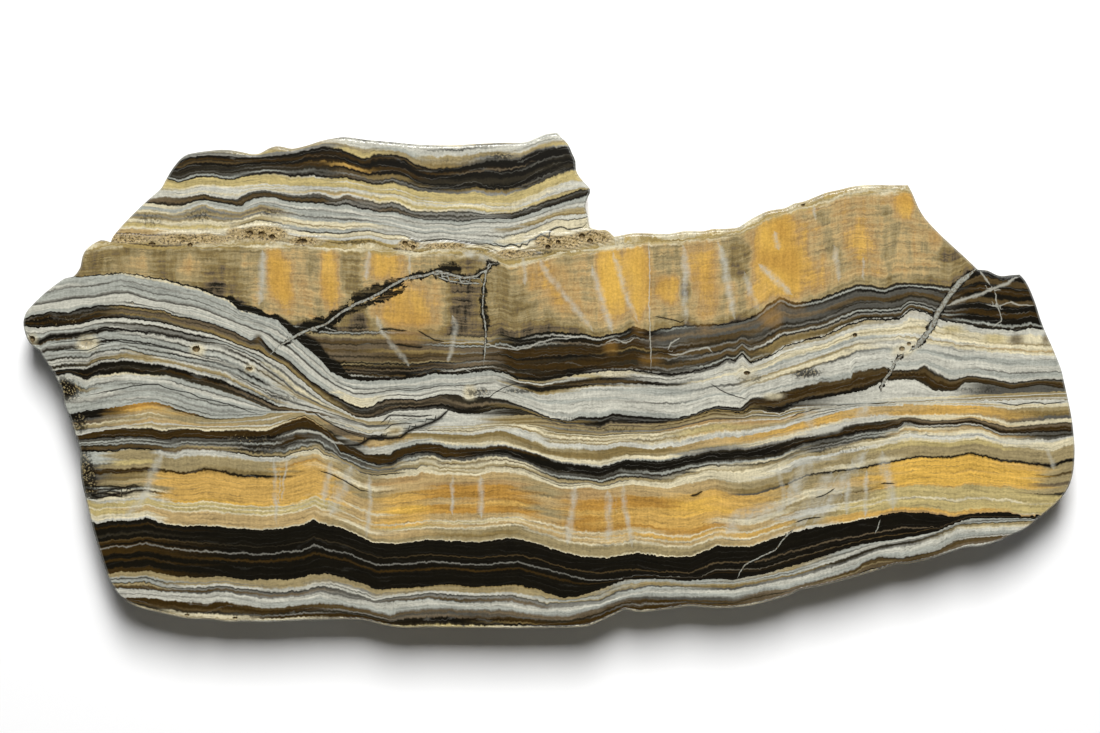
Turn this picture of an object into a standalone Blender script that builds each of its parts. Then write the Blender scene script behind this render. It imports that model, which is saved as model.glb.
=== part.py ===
"""Polished slab of banded zebra calcite, lying on its sawn back.

One solid: a thick slice sawn across the bands, its face polished, its top and
bottom edges the stone's own skin, its ends and corners cut and eased by hand.
"""

import math

import bpy
import bmesh
from mathutils import Vector, noise

# The outline is read off the photo in 3 mm squares: across, then down.
SQUARE = 0.003

# Driving sizes, in metres.
THICKNESS = 0.018
EASED_EDGE = 0.0007
BACK_EDGE = 0.0011
WALL_STEP = 0.0021
SKIN_RELIEF = 0.0012
SAWN_RELIEF = 0.00025
SKIN_LUMP = 0.0065

# Natural skin along the top of the upper block.
BLOCK_TOP = [
    (17.9, 16.0), (18.8, 15.4), (21.0, 15.05), (22.5, 14.95), (24.0, 15.15), (25.2, 15.4),
    (26.0, 15.3), (26.8, 14.85), (27.6, 14.6), (28.4, 14.7), (29.2, 14.85), (30.6, 14.55),
    (32.0, 14.1), (33.2, 13.85), (34.5, 13.7), (36.5, 13.95), (39.2, 14.2), (42.0, 14.45),
    (45.0, 14.5), (48.0, 14.35), (50.5, 14.25), (52.5, 14.2), (53.6, 13.8), (54.6, 13.4),
    (55.7, 13.25),
]
# The block's right-hand end, broken off in small steps from band to band.
BLOCK_END = [
    (55.7, 13.25), (56.2, 13.8), (56.8, 14.4), (57.2, 15.3), (57.55, 16.1), (57.6, 17.0),
    (58.0, 17.75), (58.6, 18.4), (59.0, 18.9), (59.0, 19.3), (58.7, 19.9), (58.5, 20.6),
    (58.7, 21.3), (58.85, 22.1), (58.95, 22.7),
]
# Rough natural crust from the foot of the block to the top right corner.
CRUST_SHOULDER = [
    (58.95, 22.7), (59.6, 22.95), (60.6, 23.0), (61.1, 23.35), (61.4, 23.65), (62.2, 23.5),
    (63.5, 23.3), (65.5, 23.35), (67.0, 23.35), (68.5, 23.1), (70.4, 23.1), (71.2, 22.9),
    (73.5, 22.8), (74.2, 22.5), (75.2, 21.85), (76.8, 21.1), (78.5, 20.8), (79.4, 20.35),
    (80.5, 20.1), (82.5, 19.3), (84.0, 18.95), (85.5, 18.6), (87.2, 18.45), (89.0, 18.5),
    (90.8, 18.5),
]
# Slanting cut on the upper right.
RIGHT_SLANT = [
    (90.8, 18.5), (91.2, 19.2), (91.9, 20.8), (92.6, 21.9), (94.0, 23.4), (95.5, 24.8),
    (96.6, 25.8), (97.8, 26.95),
]
# The small dark knuckle left of the right-hand corner.
RIGHT_KNUCKLE = [
    (97.8, 26.95), (98.8, 27.05), (99.5, 27.4), (100.2, 27.6), (101.2, 27.5), (102.0, 27.45),
]
# The right-hand end, running down into one large round corner.
RIGHT_END = [
    (102.0, 27.45), (102.5, 28.0), (103.0, 28.9), (103.6, 30.4), (104.1, 32.0), (104.7, 33.5),
    (105.3, 34.8), (106.1, 36.8), (106.4, 38.0), (106.8, 39.8), (107.2, 41.8), (107.4, 43.5),
    (107.5, 45.0), (107.4, 46.8), (107.1, 48.2), (106.6, 49.2), (105.9, 50.1), (105.0, 50.9),
    (103.8, 51.9), (102.5, 52.9), (101.2, 53.5), (100.2, 54.0),
]
# The natural base of the bands, right to left along the bottom.
BASE_SKIN = [
    (100.2, 54.0), (99.0, 54.4), (97.6, 54.7), (96.8, 54.7), (95.0, 55.25), (93.0, 55.9),
    (91.0, 56.35), (89.6, 56.45), (88.2, 56.9), (85.5, 57.7), (83.5, 58.25), (81.6, 58.7),
    (80.0, 59.0), (79.0, 59.5), (77.0, 60.1), (74.8, 60.6), (72.5, 60.8), (70.8, 60.75),
    (69.0, 60.6), (67.8, 60.75), (65.8, 61.05), (63.8, 61.2), (62.6, 60.95), (61.9, 61.25),
    (60.3, 62.0), (59.0, 62.55), (57.5, 62.75), (54.5, 62.8), (50.8, 62.85), (47.0, 62.8),
    (43.0, 62.75), (40.5, 62.8), (38.5, 62.55), (36.8, 62.1), (35.8, 61.95), (33.0, 61.95),
    (30.0, 62.05), (26.5, 62.2), (24.3, 62.15), (22.8, 62.2), (21.0, 61.95), (19.0, 61.9),
    (17.8, 61.7), (16.0, 61.3), (14.0, 60.8), (12.7, 60.2),
]
# The long sawn left side.
LEFT_SIDE = [
    (12.7, 60.2), (12.0, 59.6), (11.2, 58.5), (10.5, 56.9), (9.9, 55.0), (9.3, 53.0),
    (8.8, 50.8), (8.4, 49.3), (8.1, 47.8), (8.0, 46.5), (7.95, 45.0), (7.6, 43.7),
    (7.0, 41.9), (6.4, 40.3), (6.2, 39.2), (5.6, 37.8), (4.7, 36.3), (3.85, 35.0),
]
# The rounded nose at the far left.
NOSE = [
    (3.85, 35.0), (3.2, 34.6), (2.7, 33.9), (2.4, 33.0), (2.3, 32.2), (2.55, 31.3),
    (3.1, 30.6), (4.0, 29.7), (4.8, 29.0), (5.6, 28.4), (6.4, 27.85), (7.3, 27.65),
]
# The step from the nose up to the left shoulder.
LEFT_SHOULDER = [
    (7.3, 27.65), (7.6, 27.35), (8.0, 26.7), (8.15, 25.9), (8.4, 25.2), (8.9, 24.65),
    (9.5, 24.25), (10.1, 24.0), (10.6, 24.05), (11.0, 24.3),
]
# Slanting cut on the upper left, back to the block's corner.
LEFT_SLANT = [
    (11.0, 24.3), (11.3, 23.6), (11.8, 23.0), (12.4, 22.3), (14.0, 20.7), (15.5, 19.35),
    (16.1, 18.8), (16.6, 17.9), (17.2, 16.9), (17.9, 16.0),
]

# Each stretch with the depth of the relief in its wall.
STRETCHES = [
    (BLOCK_TOP, SKIN_RELIEF),
    (BLOCK_END, SKIN_RELIEF),
    (CRUST_SHOULDER, SKIN_RELIEF),
    (RIGHT_SLANT, SAWN_RELIEF),
    (RIGHT_KNUCKLE, SKIN_RELIEF),
    (RIGHT_END, SAWN_RELIEF),
    (BASE_SKIN, SKIN_RELIEF),
    (LEFT_SIDE, SAWN_RELIEF),
    (NOSE, SAWN_RELIEF),
    (LEFT_SHOULDER, SAWN_RELIEF),
    (LEFT_SLANT, SAWN_RELIEF),
]

# Height of each ring of the wall, how far it is eased in, and its share of relief.
RINGS = [
    (THICKNESS, EASED_EDGE, 0.0),
    (THICKNESS - EASED_EDGE * 0.35, EASED_EDGE * 0.3, 0.0),
    (THICKNESS - EASED_EDGE, 0.0, 0.0),
    (THICKNESS * 0.72, 0.0, 0.8),
    (THICKNESS * 0.46, 0.0, 1.0),
    (THICKNESS * 0.22, 0.0, 1.0),
    (BACK_EDGE * 0.6, BACK_EDGE * 0.3, 0.8),
    (0.0, BACK_EDGE, 0.6),
]


def smooth_between(before, start, end, after, share):
    """Point on a smooth curve that passes through start and end."""
    square, cube = share * share, share * share * share
    return 0.5 * (
        2.0 * start
        + (end - before) * share
        + (2.0 * before - 5.0 * start + 4.0 * end - after) * square
        + (3.0 * start - before - 3.0 * end + after) * cube
    )


def walk_outline():
    """Even steps round the outline, smooth in a stretch and sharp between two."""
    walk = []
    for stretch, relief in STRETCHES:
        points = [Vector((across, -down)) * SQUARE for across, down in stretch]
        padded = [points[0]] + points + [points[-1]]
        for i in range(1, len(padded) - 2):
            before, start, end, after = padded[i - 1:i + 3]
            steps = max(1, round((end - start).length / WALL_STEP))
            for step in range(steps):
                walk.append((smooth_between(before, start, end, after, step / steps), relief))
    return walk


def centre_on_box(walk):
    """Move the outline so that its box is centred on the origin."""
    across = [point.x for point, _ in walk]
    along = [point.y for point, _ in walk]
    middle = Vector(((min(across) + max(across)) / 2, (min(along) + max(along)) / 2))
    return [(point - middle, relief) for point, relief in walk]


def inward_directions(walk):
    """Unit direction into the stone at each step of a clockwise outline."""
    directions = []
    for i in range(len(walk)):
        before = walk[i - 1][0]
        after = walk[(i + 1) % len(walk)][0]
        along = (after - before).normalized()
        directions.append(Vector((along.y, -along.x)))
    return directions


def wall_relief(place, depth):
    """How far the wall falls back here: slow lumps with small ones on them."""
    lump = noise.noise(place / SKIN_LUMP) * 0.7 + noise.noise(place / (SKIN_LUMP * 0.4)) * 0.3
    return depth * min(1.0, max(0.0, 0.45 + 0.8 * lump))


def build_slab():
    walk = centre_on_box(walk_outline())
    inward = inward_directions(walk)
    mesh_maker = bmesh.new()
    rings = []
    for height, eased, share in RINGS:
        ring = []
        for (point, relief), direction in zip(walk, inward):
            place = Vector((point.x, point.y, height))
            fall = eased + share * wall_relief(place, relief)
            shifted = point + direction * fall
            ring.append(mesh_maker.verts.new((shifted.x, shifted.y, height)))
        rings.append(ring)
    count = len(walk)
    for upper, lower in zip(rings, rings[1:]):
        for i in range(count):
            j = (i + 1) % count
            mesh_maker.faces.new((upper[i], upper[j], lower[j], lower[i]))
    mesh_maker.faces.new(list(reversed(rings[0])))
    mesh_maker.faces.new(rings[-1])
    bmesh.ops.triangulate(mesh_maker, faces=mesh_maker.faces[:])
    bmesh.ops.recalc_face_normals(mesh_maker, faces=mesh_maker.faces[:])
    mesh = bpy.data.meshes.new("slab")
    mesh_maker.to_mesh(mesh)
    mesh_maker.free()
    slab = bpy.data.objects.new("slab", mesh)
    bpy.context.collection.objects.link(slab)
    return slab


def polished_calcite():
    stone = bpy.data.materials.new("zebra_calcite")
    stone.use_nodes = True
    surface = stone.node_tree.nodes["Principled BSDF"]
    surface.inputs["Base Color"].default_value = (0.46, 0.36, 0.22, 1.0)
    surface.inputs["Roughness"].default_value = 0.22
    surface.inputs["Metallic"].default_value = 0.0
    return stone


for old in list(bpy.data.objects):
    bpy.data.objects.remove(old)
slab = build_slab()
slab.data.materials.append(polished_calcite())
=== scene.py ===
import math

import bpy
import numpy as np
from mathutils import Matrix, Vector, noise
from mathutils.geometry import delaunay_2d_cdt


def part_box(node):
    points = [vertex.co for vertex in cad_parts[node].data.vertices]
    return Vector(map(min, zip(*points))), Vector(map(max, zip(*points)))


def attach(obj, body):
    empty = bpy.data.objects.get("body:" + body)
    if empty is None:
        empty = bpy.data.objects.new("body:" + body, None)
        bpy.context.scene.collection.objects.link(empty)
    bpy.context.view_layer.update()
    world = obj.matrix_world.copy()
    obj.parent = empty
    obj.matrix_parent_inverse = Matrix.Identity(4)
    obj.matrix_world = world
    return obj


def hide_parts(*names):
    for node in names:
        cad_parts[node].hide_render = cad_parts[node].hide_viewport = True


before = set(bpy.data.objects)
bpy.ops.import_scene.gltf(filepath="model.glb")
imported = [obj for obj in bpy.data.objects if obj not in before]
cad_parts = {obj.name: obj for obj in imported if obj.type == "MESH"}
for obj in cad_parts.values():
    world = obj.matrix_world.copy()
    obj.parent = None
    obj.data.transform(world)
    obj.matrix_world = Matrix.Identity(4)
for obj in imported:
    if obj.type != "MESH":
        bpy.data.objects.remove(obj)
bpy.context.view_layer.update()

# The sawn slice
# One slice cut across the beds of a calcite seam. Its long edges are the seam's own
# skin, its ends are sawn, and its rim is eased by hand before the face is polished.
SQUARE = 0.003
LOWEST, HIGHEST = (Vector(corner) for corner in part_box("slab"))
THICKNESS = HIGHEST.z - LOWEST.z
EASED_EDGE = 0.0007
BACK_EDGE = 0.0011
RIM_STEP = 0.0012
FACE_STEP = 0.00078
BACK_STEP = 0.0034
SKIN_RELIEF = 0.0012
SAWN_RELIEF = 0.00025
SKIN_LUMP = 0.0065
PIT_WIDTH = 0.0012
PIT_DEPTH = 0.0012
SHARP_FROM = math.radians(48)

# The outline is read in squares of the beds' own size, across and then down.
BLOCK_TOP = [
    (17.9, 16.0), (18.8, 15.4), (21.0, 15.05), (22.5, 14.95), (24.0, 15.15), (25.2, 15.4), (26.0, 15.3),
    (26.8, 14.85), (27.6, 14.6), (28.4, 14.7), (29.2, 14.85), (30.6, 14.55), (32.0, 14.1),
    (33.2, 13.85), (34.5, 13.7), (36.5, 13.95), (39.2, 14.2), (42.0, 14.45), (45.0, 14.5),
    (48.0, 14.35), (50.5, 14.25), (52.5, 14.2), (53.6, 13.8), (54.6, 13.4), (55.7, 13.25),
]
BLOCK_END = [
    (55.7, 13.25), (56.2, 13.8), (56.8, 14.4), (57.2, 15.3), (57.55, 16.1), (57.6, 17.0), (58.0, 17.75),
    (58.6, 18.4), (59.0, 18.9), (59.0, 19.3), (58.7, 19.9), (58.5, 20.6), (58.7, 21.3), (58.85, 22.1),
    (58.95, 22.7),
]
CRUST_SHOULDER = [
    (58.95, 22.7), (59.6, 22.95), (60.6, 23.0), (61.1, 23.35), (61.4, 23.65), (62.2, 23.5),
    (63.5, 23.3), (65.5, 23.35), (67.0, 23.35), (68.5, 23.1), (70.4, 23.1), (71.2, 22.9), (73.5, 22.8),
    (74.2, 22.5), (75.2, 21.85), (76.8, 21.1), (78.5, 20.8), (79.4, 20.35), (80.5, 20.1), (82.5, 19.3),
    (84.0, 18.95), (85.5, 18.6), (87.2, 18.45), (89.0, 18.5), (90.8, 18.5),
]
RIGHT_SLANT = [
    (90.8, 18.5), (91.2, 19.2), (91.9, 20.8), (92.6, 21.9), (94.0, 23.4), (95.5, 24.8), (96.6, 25.8),
    (97.8, 26.95),
]
RIGHT_KNUCKLE = [
    (97.8, 26.95), (98.8, 27.05), (99.5, 27.4), (100.2, 27.6), (101.2, 27.5), (102.0, 27.45),
]
RIGHT_END = [
    (102.0, 27.45), (102.5, 28.0), (103.0, 28.9), (103.6, 30.4), (104.1, 32.0), (104.7, 33.5),
    (105.3, 34.8), (106.1, 36.8), (106.4, 38.0), (106.8, 39.8), (107.2, 41.8), (107.4, 43.5),
    (107.5, 45.0), (107.4, 46.8), (107.1, 48.2), (106.6, 49.2), (105.9, 50.1), (105.0, 50.9),
    (103.8, 51.9), (102.5, 52.9), (101.2, 53.5), (100.2, 54.0),
]
BASE_SKIN = [
    (100.2, 54.0), (99.0, 54.4), (97.6, 54.7), (96.8, 54.7), (95.0, 55.25), (93.0, 55.9), (91.0, 56.35),
    (89.6, 56.45), (88.2, 56.9), (85.5, 57.7), (83.5, 58.25), (81.6, 58.7), (80.0, 59.0), (79.0, 59.5),
    (77.0, 60.1), (74.8, 60.6), (72.5, 60.8), (70.8, 60.75), (69.0, 60.6), (67.8, 60.75), (65.8, 61.05),
    (63.8, 61.2), (62.6, 60.95), (61.9, 61.25), (60.3, 62.0), (59.0, 62.55), (57.5, 62.75),
    (54.5, 62.8), (50.8, 62.85), (47.0, 62.8), (43.0, 62.75), (40.5, 62.8), (38.5, 62.55), (36.8, 62.1),
    (35.8, 61.95), (33.0, 61.95), (30.0, 62.05), (26.5, 62.2), (24.3, 62.15), (22.8, 62.2),
    (21.0, 61.95), (19.0, 61.9), (17.8, 61.7), (16.0, 61.3), (14.0, 60.8), (12.7, 60.2),
]
LEFT_SIDE = [
    (12.7, 60.2), (12.0, 59.6), (11.2, 58.5), (10.5, 56.9), (9.9, 55.0), (9.3, 53.0), (8.8, 50.8),
    (8.4, 49.3), (8.1, 47.8), (8.0, 46.5), (7.95, 45.0), (7.6, 43.7), (7.0, 41.9), (6.4, 40.3),
    (6.2, 39.2), (5.6, 37.8), (4.7, 36.3), (3.85, 35.0),
]
NOSE = [
    (3.85, 35.0), (3.2, 34.6), (2.7, 33.9), (2.4, 33.0), (2.3, 32.2), (2.55, 31.3), (3.1, 30.6),
    (4.0, 29.7), (4.8, 29.0), (5.6, 28.4), (6.4, 27.85), (7.3, 27.65),
]
LEFT_SHOULDER = [
    (7.3, 27.65), (7.6, 27.35), (8.0, 26.7), (8.15, 25.9), (8.4, 25.2), (8.9, 24.65), (9.5, 24.25),
    (10.1, 24.0), (10.6, 24.05), (11.0, 24.3),
]
LEFT_SLANT = [
    (11.0, 24.3), (11.3, 23.6), (11.8, 23.0), (12.4, 22.3), (14.0, 20.7), (15.5, 19.35), (16.1, 18.8),
    (16.6, 17.9), (17.2, 16.9), (17.9, 16.0),
]
SKIN_STRETCHES = [BLOCK_TOP, BLOCK_END, CRUST_SHOULDER, RIGHT_KNUCKLE, BASE_SKIN]
STRETCHES = [
    BLOCK_TOP, BLOCK_END, CRUST_SHOULDER, RIGHT_SLANT, RIGHT_KNUCKLE, RIGHT_END, BASE_SKIN, LEFT_SIDE,
    NOSE, LEFT_SHOULDER, LEFT_SLANT,
]

# Open holes in the face: across, down, half width, half height, depth in squares.
VUGS = [
    (3.2, 33.9, 0.3, 0.3, 0.5), (13.2, 30.3, 0.2, 0.17, 0.15), (19.6, 34.9, 0.38, 0.3, 0.5),
    (8.7, 34.3, 0.75, 0.36, 0.16), (24.9, 36.9, 0.36, 0.2, 0.3), (85.5, 33.5, 0.22, 0.2, 0.4),
    (74.7, 37.3, 0.32, 0.2, 0.4), (80.3, 20.5, 0.2, 0.17, 0.3), (19.0, 24.5, 0.25, 0.2, 0.35),
    (25.0, 23.3, 0.3, 0.22, 0.4), (26.1, 23.4, 0.26, 0.22, 0.4), (27.2, 23.7, 0.3, 0.22, 0.4),
    (30.2, 24.1, 0.5, 0.2, 0.45), (40.5, 24.3, 0.26, 0.2, 0.4), (41.3, 24.7, 0.22, 0.2, 0.35),
    (54.8, 24.7, 0.26, 0.2, 0.4), (55.8, 24.2, 0.22, 0.2, 0.4), (58.2, 23.6, 0.3, 0.22, 0.4),
    (59.0, 24.1, 0.3, 0.22, 0.4), (18.7, 61.5, 0.25, 0.12, 0.3), (23.5, 61.8, 0.25, 0.12, 0.3),
    (15.2, 24.4, 0.34, 0.17, 0.35), (90.2, 34.9, 0.3, 0.25, 0.25), (90.9, 34.4, 0.22, 0.2, 0.25),
]
# Spongy crust on the face: centre across and down, half width, half height.
SPONGE = [
    (13.0, 23.9, 2.2, 0.35), (19.5, 23.9, 3.2, 0.5), (25.8, 23.4, 3.0, 0.65), (30.2, 24.1, 1.6, 0.4),
    (40.9, 24.5, 1.1, 0.45), (44.5, 24.6, 2.4, 0.3), (51.5, 25.4, 2.0, 0.4), (56.0, 24.2, 2.5, 0.7),
    (59.4, 23.7, 2.0, 0.6),
]


def smooth_between(before, start, end, after, share):
    """Point on a smooth curve that passes through start and end."""
    square, cube = share * share, share * share * share
    return 0.5 * (
        2.0 * start
        + (end - before) * share
        + (2.0 * before - 5.0 * start + 4.0 * end - after) * square
        + (3.0 * start - before - 3.0 * end + after) * cube
    )


def walk_rim():
    """Even steps round the outline in squares, each with whether it is natural skin."""
    walk, natural = [], []
    for stretch in STRETCHES:
        points = [Vector(point) for point in stretch]
        padded = [points[0]] + points + [points[-1]]
        for i in range(1, len(padded) - 2):
            before, start, end, after = padded[i - 1:i + 3]
            steps = max(1, round((end - start).length * SQUARE / RIM_STEP))
            for step in range(steps):
                walk.append(smooth_between(before, start, end, after, step / steps))
                natural.append(float(stretch in SKIN_STRETCHES))
    return np.array([tuple(point) for point in walk]), np.array(natural)


RIM, RIM_NATURAL = walk_rim()
CENTRE_ACROSS, CENTRE_DOWN = (RIM.min(axis=0) + RIM.max(axis=0)) / 2.0
CENTRE_X, CENTRE_Y = (LOWEST.x + HIGHEST.x) / 2.0, (LOWEST.y + HIGHEST.y) / 2.0


def place_on_slab(across, down):
    """From squares to metres in the slab's own frame."""
    return CENTRE_X + (across - CENTRE_ACROSS) * SQUARE, CENTRE_Y + (CENTRE_DOWN - down) * SQUARE


RIM_X, RIM_Y = place_on_slab(RIM[:, 0], RIM[:, 1])
RIM_COUNT = len(RIM_X)


def inward_of_rim():
    """Unit direction into the stone at each step of the clockwise rim."""
    along_x = np.roll(RIM_X, -1) - np.roll(RIM_X, 1)
    along_y = np.roll(RIM_Y, -1) - np.roll(RIM_Y, 1)
    length = np.hypot(along_x, along_y)
    return along_y / length, -along_x / length


INWARD_X, INWARD_Y = inward_of_rim()


def wall_relief(x, y, z, depth):
    """How far the wall falls back here: slow lumps with small ones on them."""
    place = Vector((x, y, z))
    lump = noise.noise(place / SKIN_LUMP) * 0.62 + noise.noise(place / (SKIN_LUMP * 0.4)) * 0.26
    lump += noise.noise(place / (SKIN_LUMP * 0.16)) * 0.12
    return depth * min(1.0, max(0.0, 0.45 + 0.8 * lump))


# Height of each ring of the wall, how far it is eased in, and its share of relief.
RINGS = [
    (THICKNESS, EASED_EDGE, 0.0),
    (THICKNESS - EASED_EDGE * 0.12, EASED_EDGE * 0.6, 0.0),
    (THICKNESS - EASED_EDGE * 0.4, EASED_EDGE * 0.25, 0.0),
    (THICKNESS - EASED_EDGE, 0.0, 0.0),
    (THICKNESS * 0.90, 0.0, 0.45),
    (THICKNESS * 0.82, 0.0, 0.8),
    (THICKNESS * 0.74, 0.0, 1.0),
    (THICKNESS * 0.66, 0.0, 1.0),
    (THICKNESS * 0.58, 0.0, 1.0),
    (THICKNESS * 0.50, 0.0, 1.0),
    (THICKNESS * 0.42, 0.0, 1.0),
    (THICKNESS * 0.34, 0.0, 1.0),
    (THICKNESS * 0.26, 0.0, 1.0),
    (THICKNESS * 0.18, 0.0, 1.0),
    (BACK_EDGE * 1.6, 0.0, 1.0),
    (BACK_EDGE * 0.6, BACK_EDGE * 0.3, 0.8),
    (0.0, BACK_EDGE, 0.6),
]


def build_walls():
    """Rings of points from the face down to the back, as one array."""
    walls = []
    for height, eased, share in RINGS:
        for i in range(RIM_COUNT):
            depth = SKIN_RELIEF if RIM_NATURAL[i] else SAWN_RELIEF
            fall = eased + share * wall_relief(RIM_X[i], RIM_Y[i], height, depth)
            walls.append((RIM_X[i] + INWARD_X[i] * fall, RIM_Y[i] + INWARD_Y[i] * fall, height))
    return np.array(walls)


def inside_rim(x, y, ring_x, ring_y):
    """Whether each point lies inside the ring, by counting the edges it faces."""
    inside = np.zeros(len(x), dtype=bool)
    for i in range(len(ring_x)):
        x0, y0, x1, y1 = ring_x[i - 1], ring_y[i - 1], ring_x[i], ring_y[i]
        if y0 != y1:
            crosses = (y0 > y) != (y1 > y)
            inside ^= crosses & (x < (x1 - x0) * (y - y0) / (y1 - y0) + x0)
    return inside


# Points added in the spongy crust, and in circles round the middle of each vug.
SPONGE_POINTS = 190
VUG_CLEARED = 1.35
VUG_POINTS = [(0.0, 1), (0.3, 6), (0.55, 9), (0.75, 12), (0.92, 14), (1.12, 14)]


def inner_points(step, ring, crowd, seed):
    """Jittered grid of points inside a ring, with close rings of them in each vug."""
    dice = np.random.default_rng(seed)
    columns = np.arange(LOWEST.x, HIGHEST.x, step)
    rows = np.arange(LOWEST.y, HIGHEST.y, step * 0.9)
    x, y = np.meshgrid(columns, rows)
    x[1::2] += step / 2.0
    x = (x + dice.uniform(-0.16, 0.16, x.shape) * step).ravel()
    y = (y + dice.uniform(-0.16, 0.16, y.shape) * step).ravel()
    if crowd:
        for across, down, half_width, half_height in SPONGE:
            count = int(half_width * half_height * SPONGE_POINTS)
            middle_x, middle_y = place_on_slab(across, down)
            x = np.append(x, middle_x + dice.uniform(-1.0, 1.0, count) * half_width * SQUARE)
            y = np.append(y, middle_y + dice.uniform(-1.0, 1.0, count) * half_height * SQUARE)
        for across, down, half_width, half_height, _ in VUGS:
            middle_x, middle_y = place_on_slab(across, down)
            apart = np.hypot((x - middle_x) / half_width, (y - middle_y) / half_height) / SQUARE
            x, y = x[apart > VUG_CLEARED], y[apart > VUG_CLEARED]
            for reach, spokes in VUG_POINTS:
                turn = np.arange(spokes) * 2.0 * math.pi / spokes + reach
                x = np.append(x, middle_x + np.cos(turn) * reach * half_width * SQUARE)
                y = np.append(y, middle_y + np.sin(turn) * reach * half_height * SQUARE)
    inside = inside_rim(x, y, ring[:, 0], ring[:, 1])
    x, y = x[inside], y[inside]
    clear = np.full(len(x), True)
    for ring_x, ring_y, _ in ring:
        clear &= (x - ring_x) ** 2 + (y - ring_y) ** 2 > (step * 0.5) ** 2
    return np.column_stack([x[clear], y[clear]])


def fill_ring(ring, points):
    """Triangles over a ring and the points inside it, as numbers into both."""
    spots = np.vstack([ring[:, :2], points])
    count = len(ring)
    rim_edges = [(i, (i + 1) % count) for i in range(count)]
    filled = delaunay_2d_cdt([Vector(spot) for spot in spots], rim_edges, [], 0, 1e-8, True)
    origin = np.array([source[0] for source in filled[3]])
    triangles = origin[np.array(filled[2])]
    middles = spots[triangles].mean(axis=1)
    kept = inside_rim(middles[:, 0], middles[:, 1], ring[:, 0], ring[:, 1])
    return triangles[kept]


WALLS = build_walls()
FACE_RING = WALLS[:RIM_COUNT]
BACK_RING = WALLS[-RIM_COUNT:]
FACE_POINTS = inner_points(FACE_STEP, FACE_RING, True, 5)
BACK_POINTS = inner_points(BACK_STEP, BACK_RING, False, 6)
FACE_START = len(WALLS)
BACK_START = FACE_START + len(FACE_POINTS)
POINTS = np.vstack([
    WALLS,
    np.column_stack([FACE_POINTS, np.full(len(FACE_POINTS), THICKNESS)]),
    np.column_stack([BACK_POINTS, np.full(len(BACK_POINTS), 0.0)]),
])


def face_triangles():
    """Triangles of the polished face, which look up."""
    number = np.append(np.arange(RIM_COUNT), np.arange(FACE_START, BACK_START))
    return number[fill_ring(FACE_RING, FACE_POINTS)].tolist()


def back_triangles():
    """Triangles of the sawn back, turned to look down."""
    number = np.append(np.arange(FACE_START - RIM_COUNT, FACE_START), np.arange(BACK_START, len(POINTS)))
    return number[fill_ring(BACK_RING, BACK_POINTS)][:, ::-1].tolist()


def wall_faces():
    """Four-cornered faces between one ring of the wall and the next."""
    faces = []
    for ring in range(len(RINGS) - 1):
        for i in range(RIM_COUNT):
            j = (i + 1) % RIM_COUNT
            upper, lower = ring * RIM_COUNT, (ring + 1) * RIM_COUNT
            faces.append((upper + i, upper + j, lower + j, lower + i))
    return faces


ACROSS = CENTRE_ACROSS + (POINTS[:, 0] - CENTRE_X) / SQUARE
BED_DIP = 0.14
DOWN = CENTRE_DOWN - (POINTS[:, 1] - CENTRE_Y) / SQUARE + BED_DIP * (THICKNESS - POINTS[:, 2]) / SQUARE
ON_FACE = POINTS[:, 2] > THICKNESS - 1e-6


def sink_holes():
    """Press the vugs and the spongy crust's pits into the polished face."""
    sunk = np.zeros(len(POINTS))
    for across, down, half_width, half_height, depth in VUGS:
        apart = np.hypot((ACROSS - across) / half_width, (DOWN - down) / half_height)
        hollow = np.clip((1.08 - apart) / 0.5, 0.0, 1.0)
        sunk = np.maximum(sunk, depth * SQUARE * hollow * (2.0 - hollow))
    for across, down, half_width, half_height in SPONGE:
        apart = np.hypot((ACROSS - across) / half_width, (DOWN - down) / half_height)
        for i in np.nonzero((apart < 1.0) & ON_FACE)[0]:
            place = Vector((POINTS[i, 0], POINTS[i, 1], 0.3)) / PIT_WIDTH
            pit = max(0.0, noise.noise(place) + 0.5 * noise.noise(place * 2.3) - 0.06)
            sunk[i] = max(sunk[i], PIT_DEPTH * pit * min(1.0, 2.0 * (1.0 - apart[i])))
    return np.where(ON_FACE, sunk, 0.0)


SUNK = sink_holes()
POINTS[:, 2] -= SUNK


# Where the flat map puts the face, the back and the strip of walls.
MAP_LEFT, MAP_WIDTH = 0.01, 0.98
FACE_FOOT, FACE_RISE = 0.395, 0.595
BACK_FOOT, BACK_RISE = 0.125, 0.255
WALL_TOP, WALL_FALL = 0.11, 0.1


def lay_out_map(mesh, counts):
    """Flat map of the surface: face on top, back below it, walls as a strip."""
    face_count, wall_count, _ = counts
    chart = mesh.uv_layers.new(name="OFBake")
    width, height = HIGHEST.x - LOWEST.x, HIGHEST.y - LOWEST.y
    spots = np.zeros((len(mesh.loops), 2))
    vertex = np.zeros(len(mesh.loops), dtype=int)
    mesh.loops.foreach_get("vertex_index", vertex)
    u = MAP_LEFT + MAP_WIDTH * ((POINTS[vertex, 0] - LOWEST.x) / width)
    v = (POINTS[vertex, 1] - LOWEST.y) / height
    face_end = face_count * 3
    wall_end = face_end + wall_count * 4
    spots[:face_end] = np.column_stack([u[:face_end], FACE_FOOT + FACE_RISE * v[:face_end]])
    spots[wall_end:] = np.column_stack([u[wall_end:], BACK_FOOT + BACK_RISE * v[wall_end:]])
    ring = vertex[face_end:wall_end] // RIM_COUNT
    step = vertex[face_end:wall_end] % RIM_COUNT
    last = (np.arange(wall_end - face_end) // 4) % RIM_COUNT == RIM_COUNT - 1
    step = np.where(last & (step == 0), RIM_COUNT, step)
    fall = 1.0 - np.array([height for height, _, _ in RINGS])[ring] / THICKNESS
    spots[face_end:wall_end] = np.column_stack(
        [MAP_LEFT + MAP_WIDTH * step / RIM_COUNT, WALL_TOP - WALL_FALL * fall])
    chart.data.foreach_set("uv", spots.ravel())


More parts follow.
